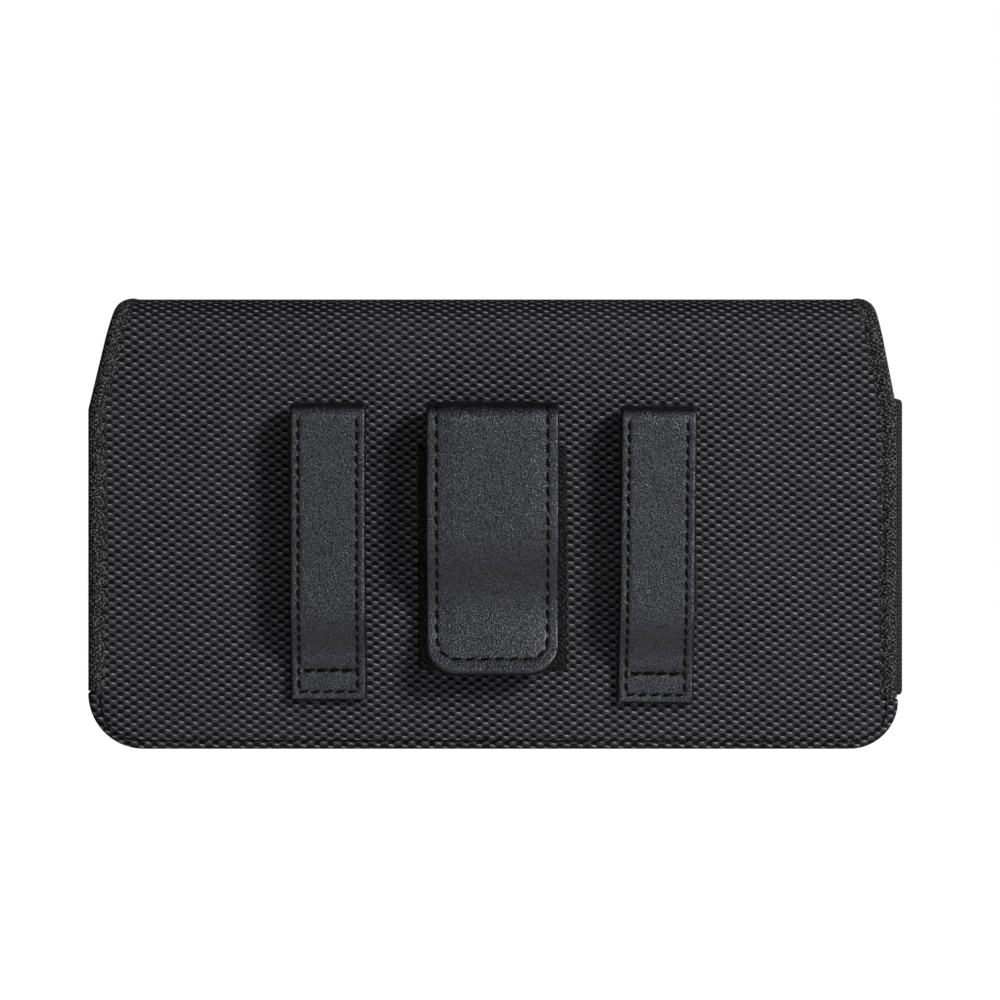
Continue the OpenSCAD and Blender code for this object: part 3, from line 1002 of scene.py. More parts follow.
class SurfaceDust(EffectGroup):
    """Faint lint and dust: slow patches and fine specks."""

    name = "surface_dust"
    inputs = {"Amount": 0.1}

    def fill(self, bench: NodeBench, given: bpy.types.NodeOutputs) -> dict[str, Socket]:
        """Builds the mask.

        Args:
            bench: the group's bench.
            given: what goes into the group.

        Returns:
            The mask, from 0 to 1.
        """
        patches = bench.ramp(bench.noise(given["Place"], 60, 3), 0.4, 0.75)
        specks = bench.ramp(bench.noise(given["Place"], 1500), 0.45, 0.8)
        both = bench.plus(bench.times(patches, 0.6), bench.times(specks, 0.5))
        return {"Mask": bench.math("MULTIPLY", both, given["Amount"], clamp=True)}


@dataclass(frozen=True)
class Effects:
    """The node groups that the finishes share, each built once."""

    weave: PlainWeave = field(default_factory=PlainWeave)
    tape: RibbedTape = field(default_factory=RibbedTape)
    grain: HideGrain = field(default_factory=HideGrain)
    dust: SurfaceDust = field(default_factory=SurfaceDust)


# Finishes


def blank_material(name: str) -> tuple[bpy.types.Material, NodeBench, bpy.types.Node]:
    """Makes a material with only its shader.

    Args:
        name: the material's name.

    Returns:
        The material, its bench and its shader node.
    """
    material = bpy.data.materials.new(name)
    material.use_nodes = True
    shader = next(node for node in material.node_tree.nodes if node.type == "BSDF_PRINCIPLED")
    return material, NodeBench(material.node_tree), shader


@dataclass(frozen=True)
class Finish:
    """A material. Each kind of finish works out its own colour, roughness and height.

    Fields:
        name: the material's name.
        dark: the darker colour, mostly painted shade: in hollows, in stitched grooves and holes, on leather
            turned away and between thread plies. Leather's fine grain tone also reaches it, and metal and
            board use it as a second tone.
        light: main colour.
        roughness: least roughness.
        gloss: the shader's specular level.
        sheen: tint of what the shader reflects.
        metallic: 1 for bare metal.
    """

    name: str
    dark: Rgb
    light: Rgb
    roughness: float = 0.55
    gloss: float = 0.5
    sheen: Rgb = (1.0, 1.0, 1.0)
    metallic: float = 0.0

    def look(self, bench: NodeBench, effects: Effects) -> tuple[Socket, Socket, Socket]:
        """Works out what varies over the surface.

        Args:
            bench: the material's bench.
            effects: the shared node groups.

        Returns:
            The colour, the roughness and the height in metres.
        """
        raise NotImplementedError

    def place(self, bench: NodeBench) -> Socket:
        """The piece's own flat coordinates."""
        return bench.add("ShaderNodeUVMap", uv_map="cloth").outputs[0]

    def with_stitch_shade(self, bench: NodeBench, colour: Socket) -> Socket:
        """Paints shade into stitched grooves and needle holes, by the piece's own attribute."""
        groove = bench.add("ShaderNodeAttribute", attribute_name="groove").outputs["Fac"]
        return bench.mix(groove, colour, self.dark)

    def rough(self, bench: NodeBench, share: Socket, span: float = 0.2) -> Socket:
        """The least roughness and a varying part."""
        return bench.plus(self.roughness, bench.times(share, span))

    def build(self, effects: Effects) -> bpy.types.Material:
        """Makes the material.

        Args:
            effects: the shared node groups.

        Returns:
            The material, with the look's three results on its shader.
        """
        material, bench, shader = blank_material(self.name)
        colour, rough, height = self.look(bench, effects)
        bump = bench.add("ShaderNodeBump", {"Strength": 1.0, "Distance": 1.0, "Height": height})
        settings = {"Base Color": colour, "Roughness": rough, "Normal": bump.outputs[0],
                    "Metallic": self.metallic, "Specular IOR Level": self.gloss, "Specular Tint": self.sheen}
        for key, value in settings.items():
            bench.put(shader.inputs[key], value)
        return material


@dataclass(frozen=True)
class WovenFinish(Finish):
    """The coarse cover cloth."""

    # glint: colour of the painted highlight on the weft floats.
    glint: Rgb = (0.2, 0.198, 0.212)
    lint: Rgb = (0.06, 0.06, 0.065)

    def look(self, bench: NodeBench, effects: Effects) -> tuple[Socket, Socket, Socket]:
        """Painted shade in the hollows, spreading over the cloth as it turns from the eye, and painted glints
        that grow as it turns away.

        Args:
            bench: the material's bench.
            effects: the shared node groups.

        Returns:
            The colour, the roughness and the height.
        """
        place, away = self.place(bench), bench.facing_away()
        weave = effects.weave.use(bench, place)
        # Painted shade: dark in the hollows, and the whole cloth darker as it turns from the eye.
        closed = bench.times(weave["Shade"], bench.ramp(away, 0.04, 0.4, 1.0, 0.1))
        # Painted highlight: the glints grow brighter as the cloth turns from the eye.
        glint = bench.math("MULTIPLY", weave["Glint"], bench.ramp(away, 0.04, 0.3, 1.0, 2.8), clamp=True)
        colour = bench.mix(glint, bench.mix(closed, self.dark, self.light), self.glint)
        tone = bench.ramp(weave["Fibre"], 0.3, 0.7, 0.5, 1.5)
        grey = bench.add("ShaderNodeCombineColor", {0: tone, 1: tone, 2: tone}).outputs[0]
        dust = effects.dust.use(bench, place, {"Amount": 0.12})["Mask"]
        dusty = bench.mix(dust, bench.mix(1.0, colour, grey, "MULTIPLY"), self.lint)
        hollows = bench.times(bench.less(1.0, weave["Shade"]), 0.5)
        deeper = bench.plus(self.rough(bench, weave["Fibre"]), hollows)
        return self.with_stitch_shade(bench, dusty), bench.math("MINIMUM", deeper, 1.0), weave["Height"]


@dataclass(frozen=True)
class RibbedFinish(Finish):
    """A ribbed narrow cloth, with the pitch of its ribs and of the lines across them, and its depth."""

    rib: float = 0.0009
    line: float = 0.0006
    depth: float = 0.00014
    lint: Rgb = (0.07, 0.07, 0.07)

    def look(self, bench: NodeBench, effects: Effects) -> tuple[Socket, Socket, Socket]:
        """Ribs with painted shade in their hollows, and a little lint.

        Args:
            bench: the material's bench.
            effects: the shared node groups.

        Returns:
            The colour, the roughness and the height.
        """
        place = self.place(bench)
        ribs = effects.tape.use(bench, place, {"Rib": self.rib, "Line": self.line, "Depth": self.depth})
        # Painted shade: the colour goes dark in the ribs' hollows.
        colour = bench.mix(bench.ramp(ribs["Shade"], 0.1, 0.9), self.dark, self.light)
        dusty = bench.mix(effects.dust.use(bench, place, {"Amount": 0.12})["Mask"], colour, self.lint)
        return self.with_stitch_shade(bench, dusty), self.rough(bench, ribs["Fibre"]), ribs["Height"]


@dataclass(frozen=True)
class LeatherFinish(Finish):
    """Grained leather, with the number of grain cells a metre, their depth and its dust."""

    cell: float = 1300.0
    depth: float = 0.00006
    dust: Rgb = (0.08, 0.08, 0.08)

    def look(self, bench: NodeBench, effects: Effects) -> tuple[Socket, Socket, Socket]:
        """A slow change of tone under fine grain, with painted shade that darkens the leather as it turns
        away.

        Args:
            bench: the material's bench.
            effects: the shared node groups.

        Returns:
            The colour, the roughness and the height.
        """
        place = self.place(bench)
        grain = effects.grain.use(bench, place, {"Cell": self.cell, "Depth": self.depth})
        lighter = tuple(1.25 * c for c in self.light)
        tone = bench.mix(bench.ramp(grain["Mottle"], 0.3, 0.7), self.light, lighter)
        # Painted shade: the leather goes to its dark colour as it turns from the eye, times the fine grain
        # tone.
        tone_and_painted_shade = bench.times(bench.ramp(bench.facing_away(), 0.06, 0.4, 1.0, 0.1), grain["Tone"])
        colour = bench.mix(tone_and_painted_shade, self.dark, tone)
        dusty = bench.mix(effects.dust.use(bench, place, {"Amount": 0.06})["Mask"], colour, self.dust)
        return self.with_stitch_shade(bench, dusty), self.rough(bench, grain["Mottle"], 0.16), grain["Height"]


@dataclass(frozen=True)
class FineClothFinish(Finish):
    """A fine plain weave, with its yarns' pitches, relief and unrest, the colour of its painted glints and
    lint specks, and its share of lint.
    """

    warp: float = 0.00042
    weft: float = 0.00038
    relief: float = 0.00007
    waver: float = 0.1
    glint: Rgb = (0.03, 0.03, 0.033)
    lint: float = 0.1

    def look(self, bench: NodeBench, effects: Effects) -> tuple[Socket, Socket, Socket]:
        """The shared weave at a fine pitch, with painted shade in its hollows, painted glints, light lint and
        dark bits.

        Args:
            bench: the material's bench.
            effects: the shared node groups.

        Returns:
            The colour, the roughness and the height.
        """
        place = self.place(bench)
        values = {"Warp Pitch": self.warp, "Weft Pitch": self.weft, "Lean": 0.0, "Fall": 0.0,
                  "Relief": self.relief, "Waver": self.waver}
        weave = effects.weave.use(bench, place, values)
        # Painted shade: the colour goes dark in the weave's hollows.
        body = bench.mix(weave["Shade"], self.dark, self.light)
        lint = bench.ramp(bench.noise(place, 2100), 0.53, 0.6, 0.0, self.lint)
        bits = bench.ramp(bench.noise(place, 1900), 0.42, 0.5, self.lint, 0.0)
        # The glint colour paints both the highlights on the weft floats and the lint specks.
        colour = bench.mix(bench.math("MAXIMUM", weave["Glint"], lint), body, self.glint)
        colour = bench.mix(bits, colour, self.dark)
        return self.with_stitch_shade(bench, colour), self.rough(bench, weave["Fibre"]), weave["Height"]


@dataclass(frozen=True)
class ThreadFinish(Finish):
    """Twisted sewing thread."""

    def look(self, bench: NodeBench, effects: Effects) -> tuple[Socket, Socket, Socket]:
        """Slanting plies from the flat coordinates: a sine of the place along plus the place round, with
        painted shade between the plies.

        Args:
            bench: the material's bench.
            effects: the shared node groups.

        Returns:
            The colour, the roughness and the height.
        """
        x, y, _ = bench.add("ShaderNodeSeparateXYZ", {0: self.place(bench)}).outputs
        turn = bench.plus(bench.times(x, 5000.0), bench.times(y, 7500.0))
        ply = bench.math("ABSOLUTE", bench.math("SINE", turn))
        # Painted shade: the colour goes dark in the grooves between plies.
        return bench.mix(ply, self.dark, self.light), self.rough(bench, ply), bench.times(ply, 0.00005)


@dataclass(frozen=True)
class HardFinish(Finish):
    """Metal or board on Object coordinates, with the stretch and depth of its scratches or fibres."""

    stretch: Place = (1.0, 1.0, 1.0)
    fibres: float = 1200.0
    detail: float = 3.0
    depth: float = 0.00003
    patches: bool = False

    def look(self, bench: NodeBench, effects: Effects) -> tuple[Socket, Socket, Socket]:
        """Fine lines, and a change of tone along them or in slow patches.

        Args:
            bench: the material's bench.
            effects: the shared node groups.

        Returns:
            The colour, the roughness and the height.
        """
        place = bench.add("ShaderNodeTexCoord").outputs["Object"]
        lines = bench.noise(place, self.fibres, self.detail, self.stretch)
        change, low = (bench.noise(place, 150, 3), 0.35) if self.patches else (lines, 0.4)
        colour = bench.mix(bench.ramp(change, low, 0.75), self.light, self.dark)
        return colour, self.rough(bench, lines), bench.times(lines, self.depth)


BARE_METAL = HardFinish("spring_steel", (0.2, 0.2, 0.21), (0.42, 0.43, 0.45), 0.32, metallic=1.0, fibres=3500,
                        detail=2, stretch=(1.0, 1.0, 0.06), depth=0.00001, patches=True)


class Finishes(Enum):
    """Every finish of the holster."""

    COVER = WovenFinish("woven_cover", (0.001, 0.001, 0.0015), (0.032, 0.0315, 0.036), 0.5, gloss=0.2)
    TAPE = FineClothFinish("binding_tape", (0.0006, 0.0006, 0.0006), (0.016, 0.016, 0.017), gloss=0.15,
                           warp=0.00062, weft=0.0005, relief=0.00016, waver=1.6, lint=1.0,
                           glint=(0.14, 0.14, 0.14))
    ELASTIC = RibbedFinish("elastic", (0.003, 0.003, 0.003), (0.034, 0.034, 0.035), 0.62, gloss=0.15)
    LINING = FineClothFinish("lining", (0.004, 0.004, 0.005), (0.016, 0.016, 0.018), gloss=0.3)
    LEATHER = LeatherFinish("leather", (0.0006, 0.0006, 0.001), (0.05, 0.051, 0.058), 0.22, gloss=0.55,
                            sheen=(0.9, 0.91, 1.0))
    PAD = FineClothFinish("pad_suede", (0.001, 0.001, 0.0012), (0.003, 0.003, 0.0035), gloss=0.12,
                          warp=0.0006, weft=0.0006, relief=0.00012, waver=2.5, lint=0.8,
                          glint=(0.045, 0.045, 0.05))
    THREAD = ThreadFinish("thread", (0.0012, 0.0012, 0.0015), (0.006, 0.006, 0.007), 0.7, gloss=0.06)
    # The tape's thread is a lighter copy of the thread: its light colour paints the highlights on the
    # stitches.
    TAPE_THREAD = ThreadFinish("tape_thread", (0.03, 0.03, 0.03), (0.12, 0.12, 0.12), 0.7, gloss=0.06)
    STEEL = BARE_METAL
    RIVET = replace(BARE_METAL, name="rivet", roughness=0.38, stretch=(1, 1, 1))
    MAGNET = replace(BARE_METAL, name="magnet", light=(0.5, 0.5, 0.52), roughness=0.22, stretch=(1, 1, 1))
    # The board's flecks are lighter than the rest, so here dark holds the lighter colour.
    BOARD = HardFinish("board", (0.36, 0.33, 0.27), (0.24, 0.22, 0.18), 0.75, stretch=(1, 1, 0.4))


# Sub-assemblies


@dataclass
class Workshop:
    """What every sub-assembly needs: the shared sizes and the made materials."""

    layout: Layout
    materials: dict[Finishes, bpy.types.Material]

    def dress(self, piece: Thing, finish: Finishes, slot: Slot, held: Body | Crease, *nodes: str) -> Thing:
        """Gives a piece its material, hides the solids that it stands for, and parents it to the body that
        carries it. A piece over a crease is only baked where it stands.

        Args:
            piece: the piece.
            finish: its finish.
            slot: not used.
            held: the body that carries it, or the crease that it bends over.
            nodes: the solids.

        Returns:
            The piece.
        """
        piece.data.materials.append(self.materials[finish])
        if nodes:
            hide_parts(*nodes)
        if isinstance(held, Body):
            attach(piece, held.value)
        else:
            start, end = (tuple(float(c) * MM for c in place) for place in (held.start, held.end))
            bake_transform(piece)
        return piece


@dataclass
class Skins:
    """The woven cover and the lining of the back, the fold and the flap."""

    shop: Workshop
    roll: float = 1.7
    slack: float = 0.15
    edge_round: float = 0.5
    least_t: float = 0.3
    lining_inset: float = 0.3
    lining_rise: Pair = (0.6, 3.0)
    stitch_inset: float = 2.7
    bottom_inset: float = 1.85
    inset_rise: Pair = (2.0, 11.0)
    tape_gap: float = 0.4
    still_rim: Pair = (2.0, 12.0)
    rear_steps: Steps = (0.4, 1.0, 4.5)
    front_steps: Steps = (0.64, 1.3, 4.5)
    lining_steps: Steps = (0.9, 1.8, 3.0)

    def bottom_seam(self) -> Seam:
        """The row along the bottom and round its corners, between the ends of the edge tape.

        Returns:
            The seam, which runs nearer to the edge along the bottom than at the sides.
        """
        layout = self.shop.layout
        line = resampled(layout.skin_pattern(True).outline(), 0.5)
        ends = np.where(line[:, 0] < 0, *layout.gusset_z) - self.tape_gap
        low = line[line[:, 1] < ends]
        rise = smoothstep(*self.inset_rise, low[:, 1] - layout.bottom_z)
        return Seam(inset_line(low, self.bottom_inset + (self.stitch_inset - self.bottom_inset) * rise))

    def past_the_fold(self, flat: Array) -> Array:
        """Counts the front's flat places on from the back's, so that the weave runs on over the fold."""
        total = sum(self.shop.layout.skin_pattern(rear).high for rear in (True, False))
        return np.stack([flat[..., 0], total - flat[..., 1]], axis=-1)

    def cover(self, rear: bool) -> Thing:
        """An outer skin, from the lower edge up its board and over to the middle of the fold.

        Its height is minus a quarter circle at the edge, less the seam's groove, plus a slow waver. The
        back's edge is rolled under below the end of the tape.

        Args:
            rear: whether it is the back's skin or the flap's.

        Returns:
            The piece.
        """
        layout = self.shop.layout
        fold, pattern = layout.skin_fold(rear), layout.skin_pattern(rear)
        flat = pattern.grid(*(self.rear_steps if rear else self.front_steps))
        distance = pattern.edge_distance(flat)
        still = smoothstep(*self.still_rim, distance)
        if rear:
            drop, hole = self.bottom_seam().relief(flat)
            end = layout.gusset_z[0]
            roll = self.roll * smoothstep(end + 1, end - 1, flat[..., 1]) + self.slack
            top = ripple(flat, 0.06, (11.0, 9.0), (0.7, 0.0)) * still - round_over(distance, roll) - drop
            bottom = np.minimum(top - self.least_t, -layout.cover_t)
            name, nodes, cloth = "rear_cover_skin", ["back_cover", "spine_cover"], flat
        else:
            top = ripple(flat, 0.08, (13.0, 8.0), (0.0, 1.1)) * still - round_over(distance, self.edge_round)
            bottom, hole = -layout.cover_t, 0.0
            name, nodes, cloth = "front_cover_skin", ["flap_cover"], self.past_the_fold(flat)
        piece = layer(name, fold, flat, top, bottom, hole, cloth)
        return self.shop.dress(piece, Finishes.COVER, Slot.COVER, layout.crease(rear), *nodes)

    def lining(self, rear: bool) -> Thing:
        """One lining skin, which lies under its board, and under the cover alone along the fold.

        Its depth falls from the cover's thickness to that of cover and board by a smooth step at the crease.

        Args:
            rear: whether it is the back's lining or the flap's.

        Returns:
            The piece.
        """
        layout = self.shop.layout
        pattern = layout.skin_pattern(rear, self.roll if rear else self.lining_inset)
        flat = pattern.grid(*self.lining_steps)
        board = layout.board_t if rear else layout.front_board_t
        top = -layout.cover_t - board * smoothstep(*self.lining_rise, layout.crease_z - flat[..., 1])
        bottom = top - layout.lining_t + ripple(flat, 0.025, (7.0, 6.0))
        word, cloth = ("rear", flat) if rear else ("front", self.past_the_fold(flat))
        piece = layer(f"{word}_lining_skin", layout.skin_fold(rear), flat, top, bottom, cloth=cloth)
        nodes = ["back_lining", "spine_lining"] if rear else ["flap_lining"]
        return self.shop.dress(piece, Finishes.LINING, Slot.LINING, layout.crease(rear), *nodes)

    def build(self) -> list[Thing]:
        """Builds the bottom row of stitches and the skins.

        Returns:
            The pieces.
        """
        threads = self.bottom_seam().threads("bottom_stitches", self.shop.layout.skin_fold(True), -0.08)
        self.shop.dress(threads, Finishes.THREAD, Slot.COVER, Body.POUCH)
        return [*map(self.cover, (True, False)), *map(self.lining, (True, False)), threads]


@dataclass
class EdgeTape:
    """The tape that is folded over the free edges, and its stitches."""

    shop: Workshop
    width: float = 3.3
    roll: float = 1.3
    least_roll: float = 0.02
    stitch_inset: float = 2.8
    sink: float = 0.4
    crown_sink: float = 0.3
    swell: float = 0.06
    turns: int = 5
    faces: int = 7

    def contour(self, thick: Array, lift: float, corner: Array) -> tuple[Array, Array]:
        """One face of the folded tape: along the front, round two quarter circles and along the back.

        Args:
            thick: thickness of the stack at each place, of shape (places, 1).
            lift: how far the face lies off the stack.
            corner: radius of the two corners, of shape (places, 1).

        Returns:
            Insets and heights, of shape (places, points).
        """
        share = np.linspace(0, 1, self.faces)[None]
        angle = np.linspace(0, np.pi / 2, self.turns)[None]
        start, low = corner - lift, -thick - lift
        face = self.width + (start - self.width) * share
        inset = [face, start - corner * np.sin(angle[:, 1:]), start - corner * np.cos(angle), face[:, -2::-1]]
        height = [lift + 0 * face, lift - corner * (1 - np.cos(angle[:, 1:])),
                  low + corner * (1 - np.sin(angle)), low + 0 * face[:, 1:]]
        return np.concatenate(inset, axis=1), np.concatenate(height, axis=1)

    def section(self, thick: Array) -> tuple[Array, Array, Array, Array, Array]:
        """The folded tape's section, for a stack whose thickness changes along the edge.

        The outer face swells by half a sine across each flat side.

        Args:
            thick: thickness of the stack at each place, of shape (places, 1).

        Returns:
            Outer insets and heights, inner insets and heights, and the distance along the tape, each of
            shape (places, points).
        """
        t = self.shop.layout.tape_t
        corner = np.minimum(self.roll, thick / 2 + t - self.least_roll)
        outer_u, outer_h = self.contour(thick, t, corner)
        inner_u, inner_h = self.contour(thick, 0.0, np.maximum(corner - t, self.least_roll))
        step = np.hypot(np.diff(outer_u, axis=1), np.diff(outer_h, axis=1))
        along = np.concatenate([np.zeros((len(step), 1)), np.cumsum(step, axis=1)], axis=1)
        swell = self.swell * np.sin(np.pi * np.linspace(0, 1, self.faces))
        sunk = self.sink * smoothstep(1.0, self.width, outer_u)
        outer_h[:, :self.faces] += swell - sunk[:, :self.faces]
        outer_h[:, -self.faces:] -= swell - sunk[:, -self.faces:]
        return outer_u, outer_h, inner_u, inner_h, along

    def sewn_over(self, word: str, fold: Fold, line: Array, thick: Array, inset: float, held: Body | Crease,
                  *nodes: str) -> list[Thing]:
        """Makes the tape along one edge and the stitches that press it down.

        Args:
            word: what the pieces' names start with.
            fold: the fold that carries the edge.
            line: flat points of the edge, with the cloth on their left.
            thick: thickness of the stack at each point.
            inset: how far the stitches lie from the edge.
            held: the body that both pieces move with, or the crease that they lie over.
            nodes: the solids that the tape stands for.

        Returns:
            The tape and its stitches, which end at the crown of the fold.
        """
        layout = self.shop.layout
        thick = thick[:, None]
        seam = Seam(inset_line(line, inset)[line[:, 1] < layout.crease_z + 3], gap=1.6, press=0.2)
        outer_u, outer_h, inner_u, inner_h, across = self.section(thick)
        left = left_of(tangents(line))[:, None]
        outer_flat, inner_flat = (line[:, None] + left * u[..., None] for u in (outer_u, inner_u))
        drop, hole = seam.relief(outer_flat)
        low = drop + self.crown_sink * smoothstep(layout.crease_z, layout.crease_z + 7, outer_flat[..., 1])
        outer_h = outer_h + np.where(outer_h > -thick / 2, -low, drop)
        cloth = np.stack([across, np.broadcast_to(lengths_along(line)[:, None], across.shape)], axis=-1)
        outer, inner = fold.lay(outer_flat, outer_h), fold.lay(inner_flat, inner_h)
        tape = shell(f"{word}_tape", outer, inner, cloth, hole)
        threads = seam.threads(f"{word}_stitches", fold, layout.tape_t - self.sink)
        return [self.shop.dress(tape, Finishes.TAPE, Slot.TAPE, held, *nodes),
                self.shop.dress(threads, Finishes.TAPE_THREAD, Slot.TAPE, held)]

    def stack(self, s: Array, below: float) -> Array:
        """Thickness inside the tape along a skin.

        Args:
            s: flat places along the skin.
            below: thickness of the whole stack below the crease.

        Returns:
            Thicknesses, which ease to those of cover and lining alone over the fold.
        """
        layout = self.shop.layout
        step = smoothstep(layout.crease_z - 4, layout.crease_z, s)
        return below + (layout.cover_t + layout.lining_t - below) * step

    def side_edge(self, side: Side) -> list[Thing]:
        """The tape up one side of the back and over the fold.

        It wraps the front's flange too below the mouth, so its stack is thicker there.

        Args:
            side: which side.

        Returns:
            The tape and its stitches on both bodies.
        """
        layout, pattern = self.shop.layout, self.shop.layout.skin_pattern(True)
        low = layout.gusset_z[side > 0]
        s = np.append(np.arange(0, pattern.high - low, 0.42) + low, pattern.high)
        line = np.stack([side * (pattern.half(side, s) - layout.flared(side, s)), s], axis=-1)
        line = line[::-1] if side < 0 else line
        below_mouth = 1 - smoothstep(layout.mouth_z, layout.mouth_z + 2, line[:, 1])
        thick = self.stack(line[:, 1], layout.seam_y) + layout.tape_tuck * below_mouth
        return self.sewn_over(f"{side.word}_edge", layout.skin_fold(True), line, thick, self.stitch_inset,
                              layout.crease(True), f"{side.word}_edge_binding", f"{side.word}_spine_binding")

    def flap_edge(self) -> list[Thing]:
        """The tape all round the flap, from the middle of the fold and back to it, and its stitches.

        Returns:
            The tape and its stitches.
        """
        layout = self.shop.layout
        line = resampled(layout.skin_pattern(False).outline(), 0.7)
        thick = self.stack(line[:, 1], layout.flap_y - layout.flap_lining_y)
        return self.sewn_over("flap_edge", layout.skin_fold(False), line, thick, self.stitch_inset,
                              layout.crease(False), "flap_binding")

    def mouth_edge(self) -> list[Thing]:
        """The tape over the pouch's straight mouth, and its stitches.

        Returns:
            The tape and its stitches.
        """
        layout = self.shop.layout
        low, high = np.array(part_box("mouth_binding")) / MM
        depth = high[2] - low[2] - layout.tape_t
        fold = Fold(np.array([[layout.front_y, 0.0], [layout.front_y, layout.mouth_z]]), outward=-1)
        x = np.arange(-high[0], high[0] + 0.5, 1.0)[::-1]
        line = np.stack([x, np.full(len(x), layout.mouth_z)], axis=-1)
        thick = np.full(len(x), layout.cover_t + layout.front_board_t + layout.lining_t)
        return replace(self, width=depth).sewn_over("mouth", fold, line, thick, depth - 1.0, Body.POUCH,
                                                    "mouth_binding")

    def build(self) -> list[Thing]:
        """Builds the tape of the two sides, the flap and the mouth."""
        return self.side_edge(Side.LEFT) + self.side_edge(Side.RIGHT) + self.flap_edge() + self.mouth_edge()


@dataclass
class FrontTray:
    """The moulded front of the pouch: its cover and its lining."""

    shop: Workshop
    squareness: float = 2.6
    wall_run: float = 5.0
    foot_round: float = 0.9
    bulge: float = 0.25
    face_steps: int = 33

    def section(self, lining: bool) -> Array:
        """The section from the edge inwards: a seam flange, a superellipse wall and the start of the face.

        The wall runs in by 1 - cos(a) ^ (2 / n) and rises by sin(a) ^ (2 / n).

        Args:
            lining: whether it is the lining's outer face, inside the cover and the board.

        Returns:
            Insets and depths, one row each.
        """
        layout = self.shop.layout
        down = layout.cover_t + layout.front_board_t if lining else 0.0
        run = self.wall_run - (layout.cover_t if lining else 0.0)
        base, foot = layout.seam_y + layout.cover_t, self.foot_round
        angle = np.linspace(0, np.pi / 2, 40)
        inset = layout.face_inset - run * np.cos(angle) ** (2 / self.squareness)
        depth = base + (layout.front_y - base - down) * np.sin(angle) ** (2 / self.squareness)
        wall = np.stack([inset, depth], axis=-1)
        if lining:
            return resampled(np.vstack([(layout.seam_w + layout.cover_t, layout.seam_y), wall]), 0.9)
        corner = arc((layout.seam_w - foot, base + foot), foot, 270, 360, 6)
        flange = [(0.0, layout.seam_y - 0.9), (0.12, base - 0.9), (0.5, base - 0.3), (1.2, base)]
        return resampled(np.vstack([flange, corner, wall[wall[:, 1] > base + 1.0]]), 0.6)

    def skin(self, lining: bool) -> Thing:
        """Sweeps the section round the rim, then carries the last ring over the face to the mouth.

        Above a gusset's lower end the sweep starts higher up the wall, where the elastic is sewn in. The face
        is straight lines from the ring to the mouth, and bulges by a smooth step from its edges.

        Args:
            lining: whether it is the lining.

        Returns:
            The piece.
        """
        layout, section = self.shop.layout, self.section(lining)
        ends = np.array([layout.bottom_z, layout.mouth_z])
        rim = Pattern(*ends, ends, (np.full(2, layout.back_half),) * 2, layout.corners)
        line = resampled(rim.outline(), 1.2)
        left = left_of(tangents(line))
        along = lengths_along(section)
        above = smoothstep(0, 2.5, line[:, 1] - np.where(line[:, 0] < 0, *layout.gusset_z))
        begin = (np.interp(layout.gusset_front_y, section[:, 1], along) * above)[:, None]
        place = begin + (along[-1] - begin) * np.linspace(0, 1, len(section))
        inset, depth = np.moveaxis(at_length(section, place), -1, 0)
        ring = line[:, None] + left[:, None] * inset[..., None]
        walls = np.stack([ring[..., 0], depth, ring[..., 1]], axis=-1)
        edge = walls[:, -1]
        width = float(np.abs(edge[:, 0]).max())
        mouth = np.full(len(line), layout.mouth_z)
        target = np.stack([np.linspace(-width, width, len(line)), edge[:, 1], mouth], axis=-1)
        steps = np.linspace(0, 1, self.face_steps + 1)[1:, None]
        face = edge[:, None] + (target - edge)[:, None] * steps
        outer = np.concatenate([walls, face], axis=1)
        tone_and_painted_shade = outer[..., 2] - (layout.bottom_z + layout.face_inset)
        reach = np.minimum(width - np.abs(outer[..., 0]), tone_and_painted_shade)
        outer[..., 1] += (0.0 if lining else self.bulge) * smoothstep(0, 25, reach)
        normal = np.cross(np.gradient(outer, axis=1), np.gradient(outer, axis=0))
        normal /= np.maximum(np.linalg.norm(normal, axis=-1, keepdims=True), TINY)
        thick = layout.lining_t if lining else layout.cover_t
        inner = outer - normal * np.sign(normal[..., 1].mean()) * thick
        inner[:, 0] = outer[:, 0] + (inner[:, 1] - outer[:, 1])
        flat_walls = edge[:, None, [0, 2]] - left[:, None] * (along[-1] - place)[..., None]
        flat = np.concatenate([flat_walls, face[..., [0, 2]]], axis=1)
        piece = shell("front_tray_lining" if lining else "front_tray_skin", outer, inner, flat)
        if lining:
            return self.shop.dress(piece, Finishes.LINING, Slot.LINING, Body.POUCH, "front_lining")
        return self.shop.dress(piece, Finishes.COVER, Slot.COVER, Body.POUCH, "front_cover")

    def build(self) -> list[Thing]:
        """Builds the cover and the lining of the moulded front."""
        return [self.skin(False), self.skin(True)]


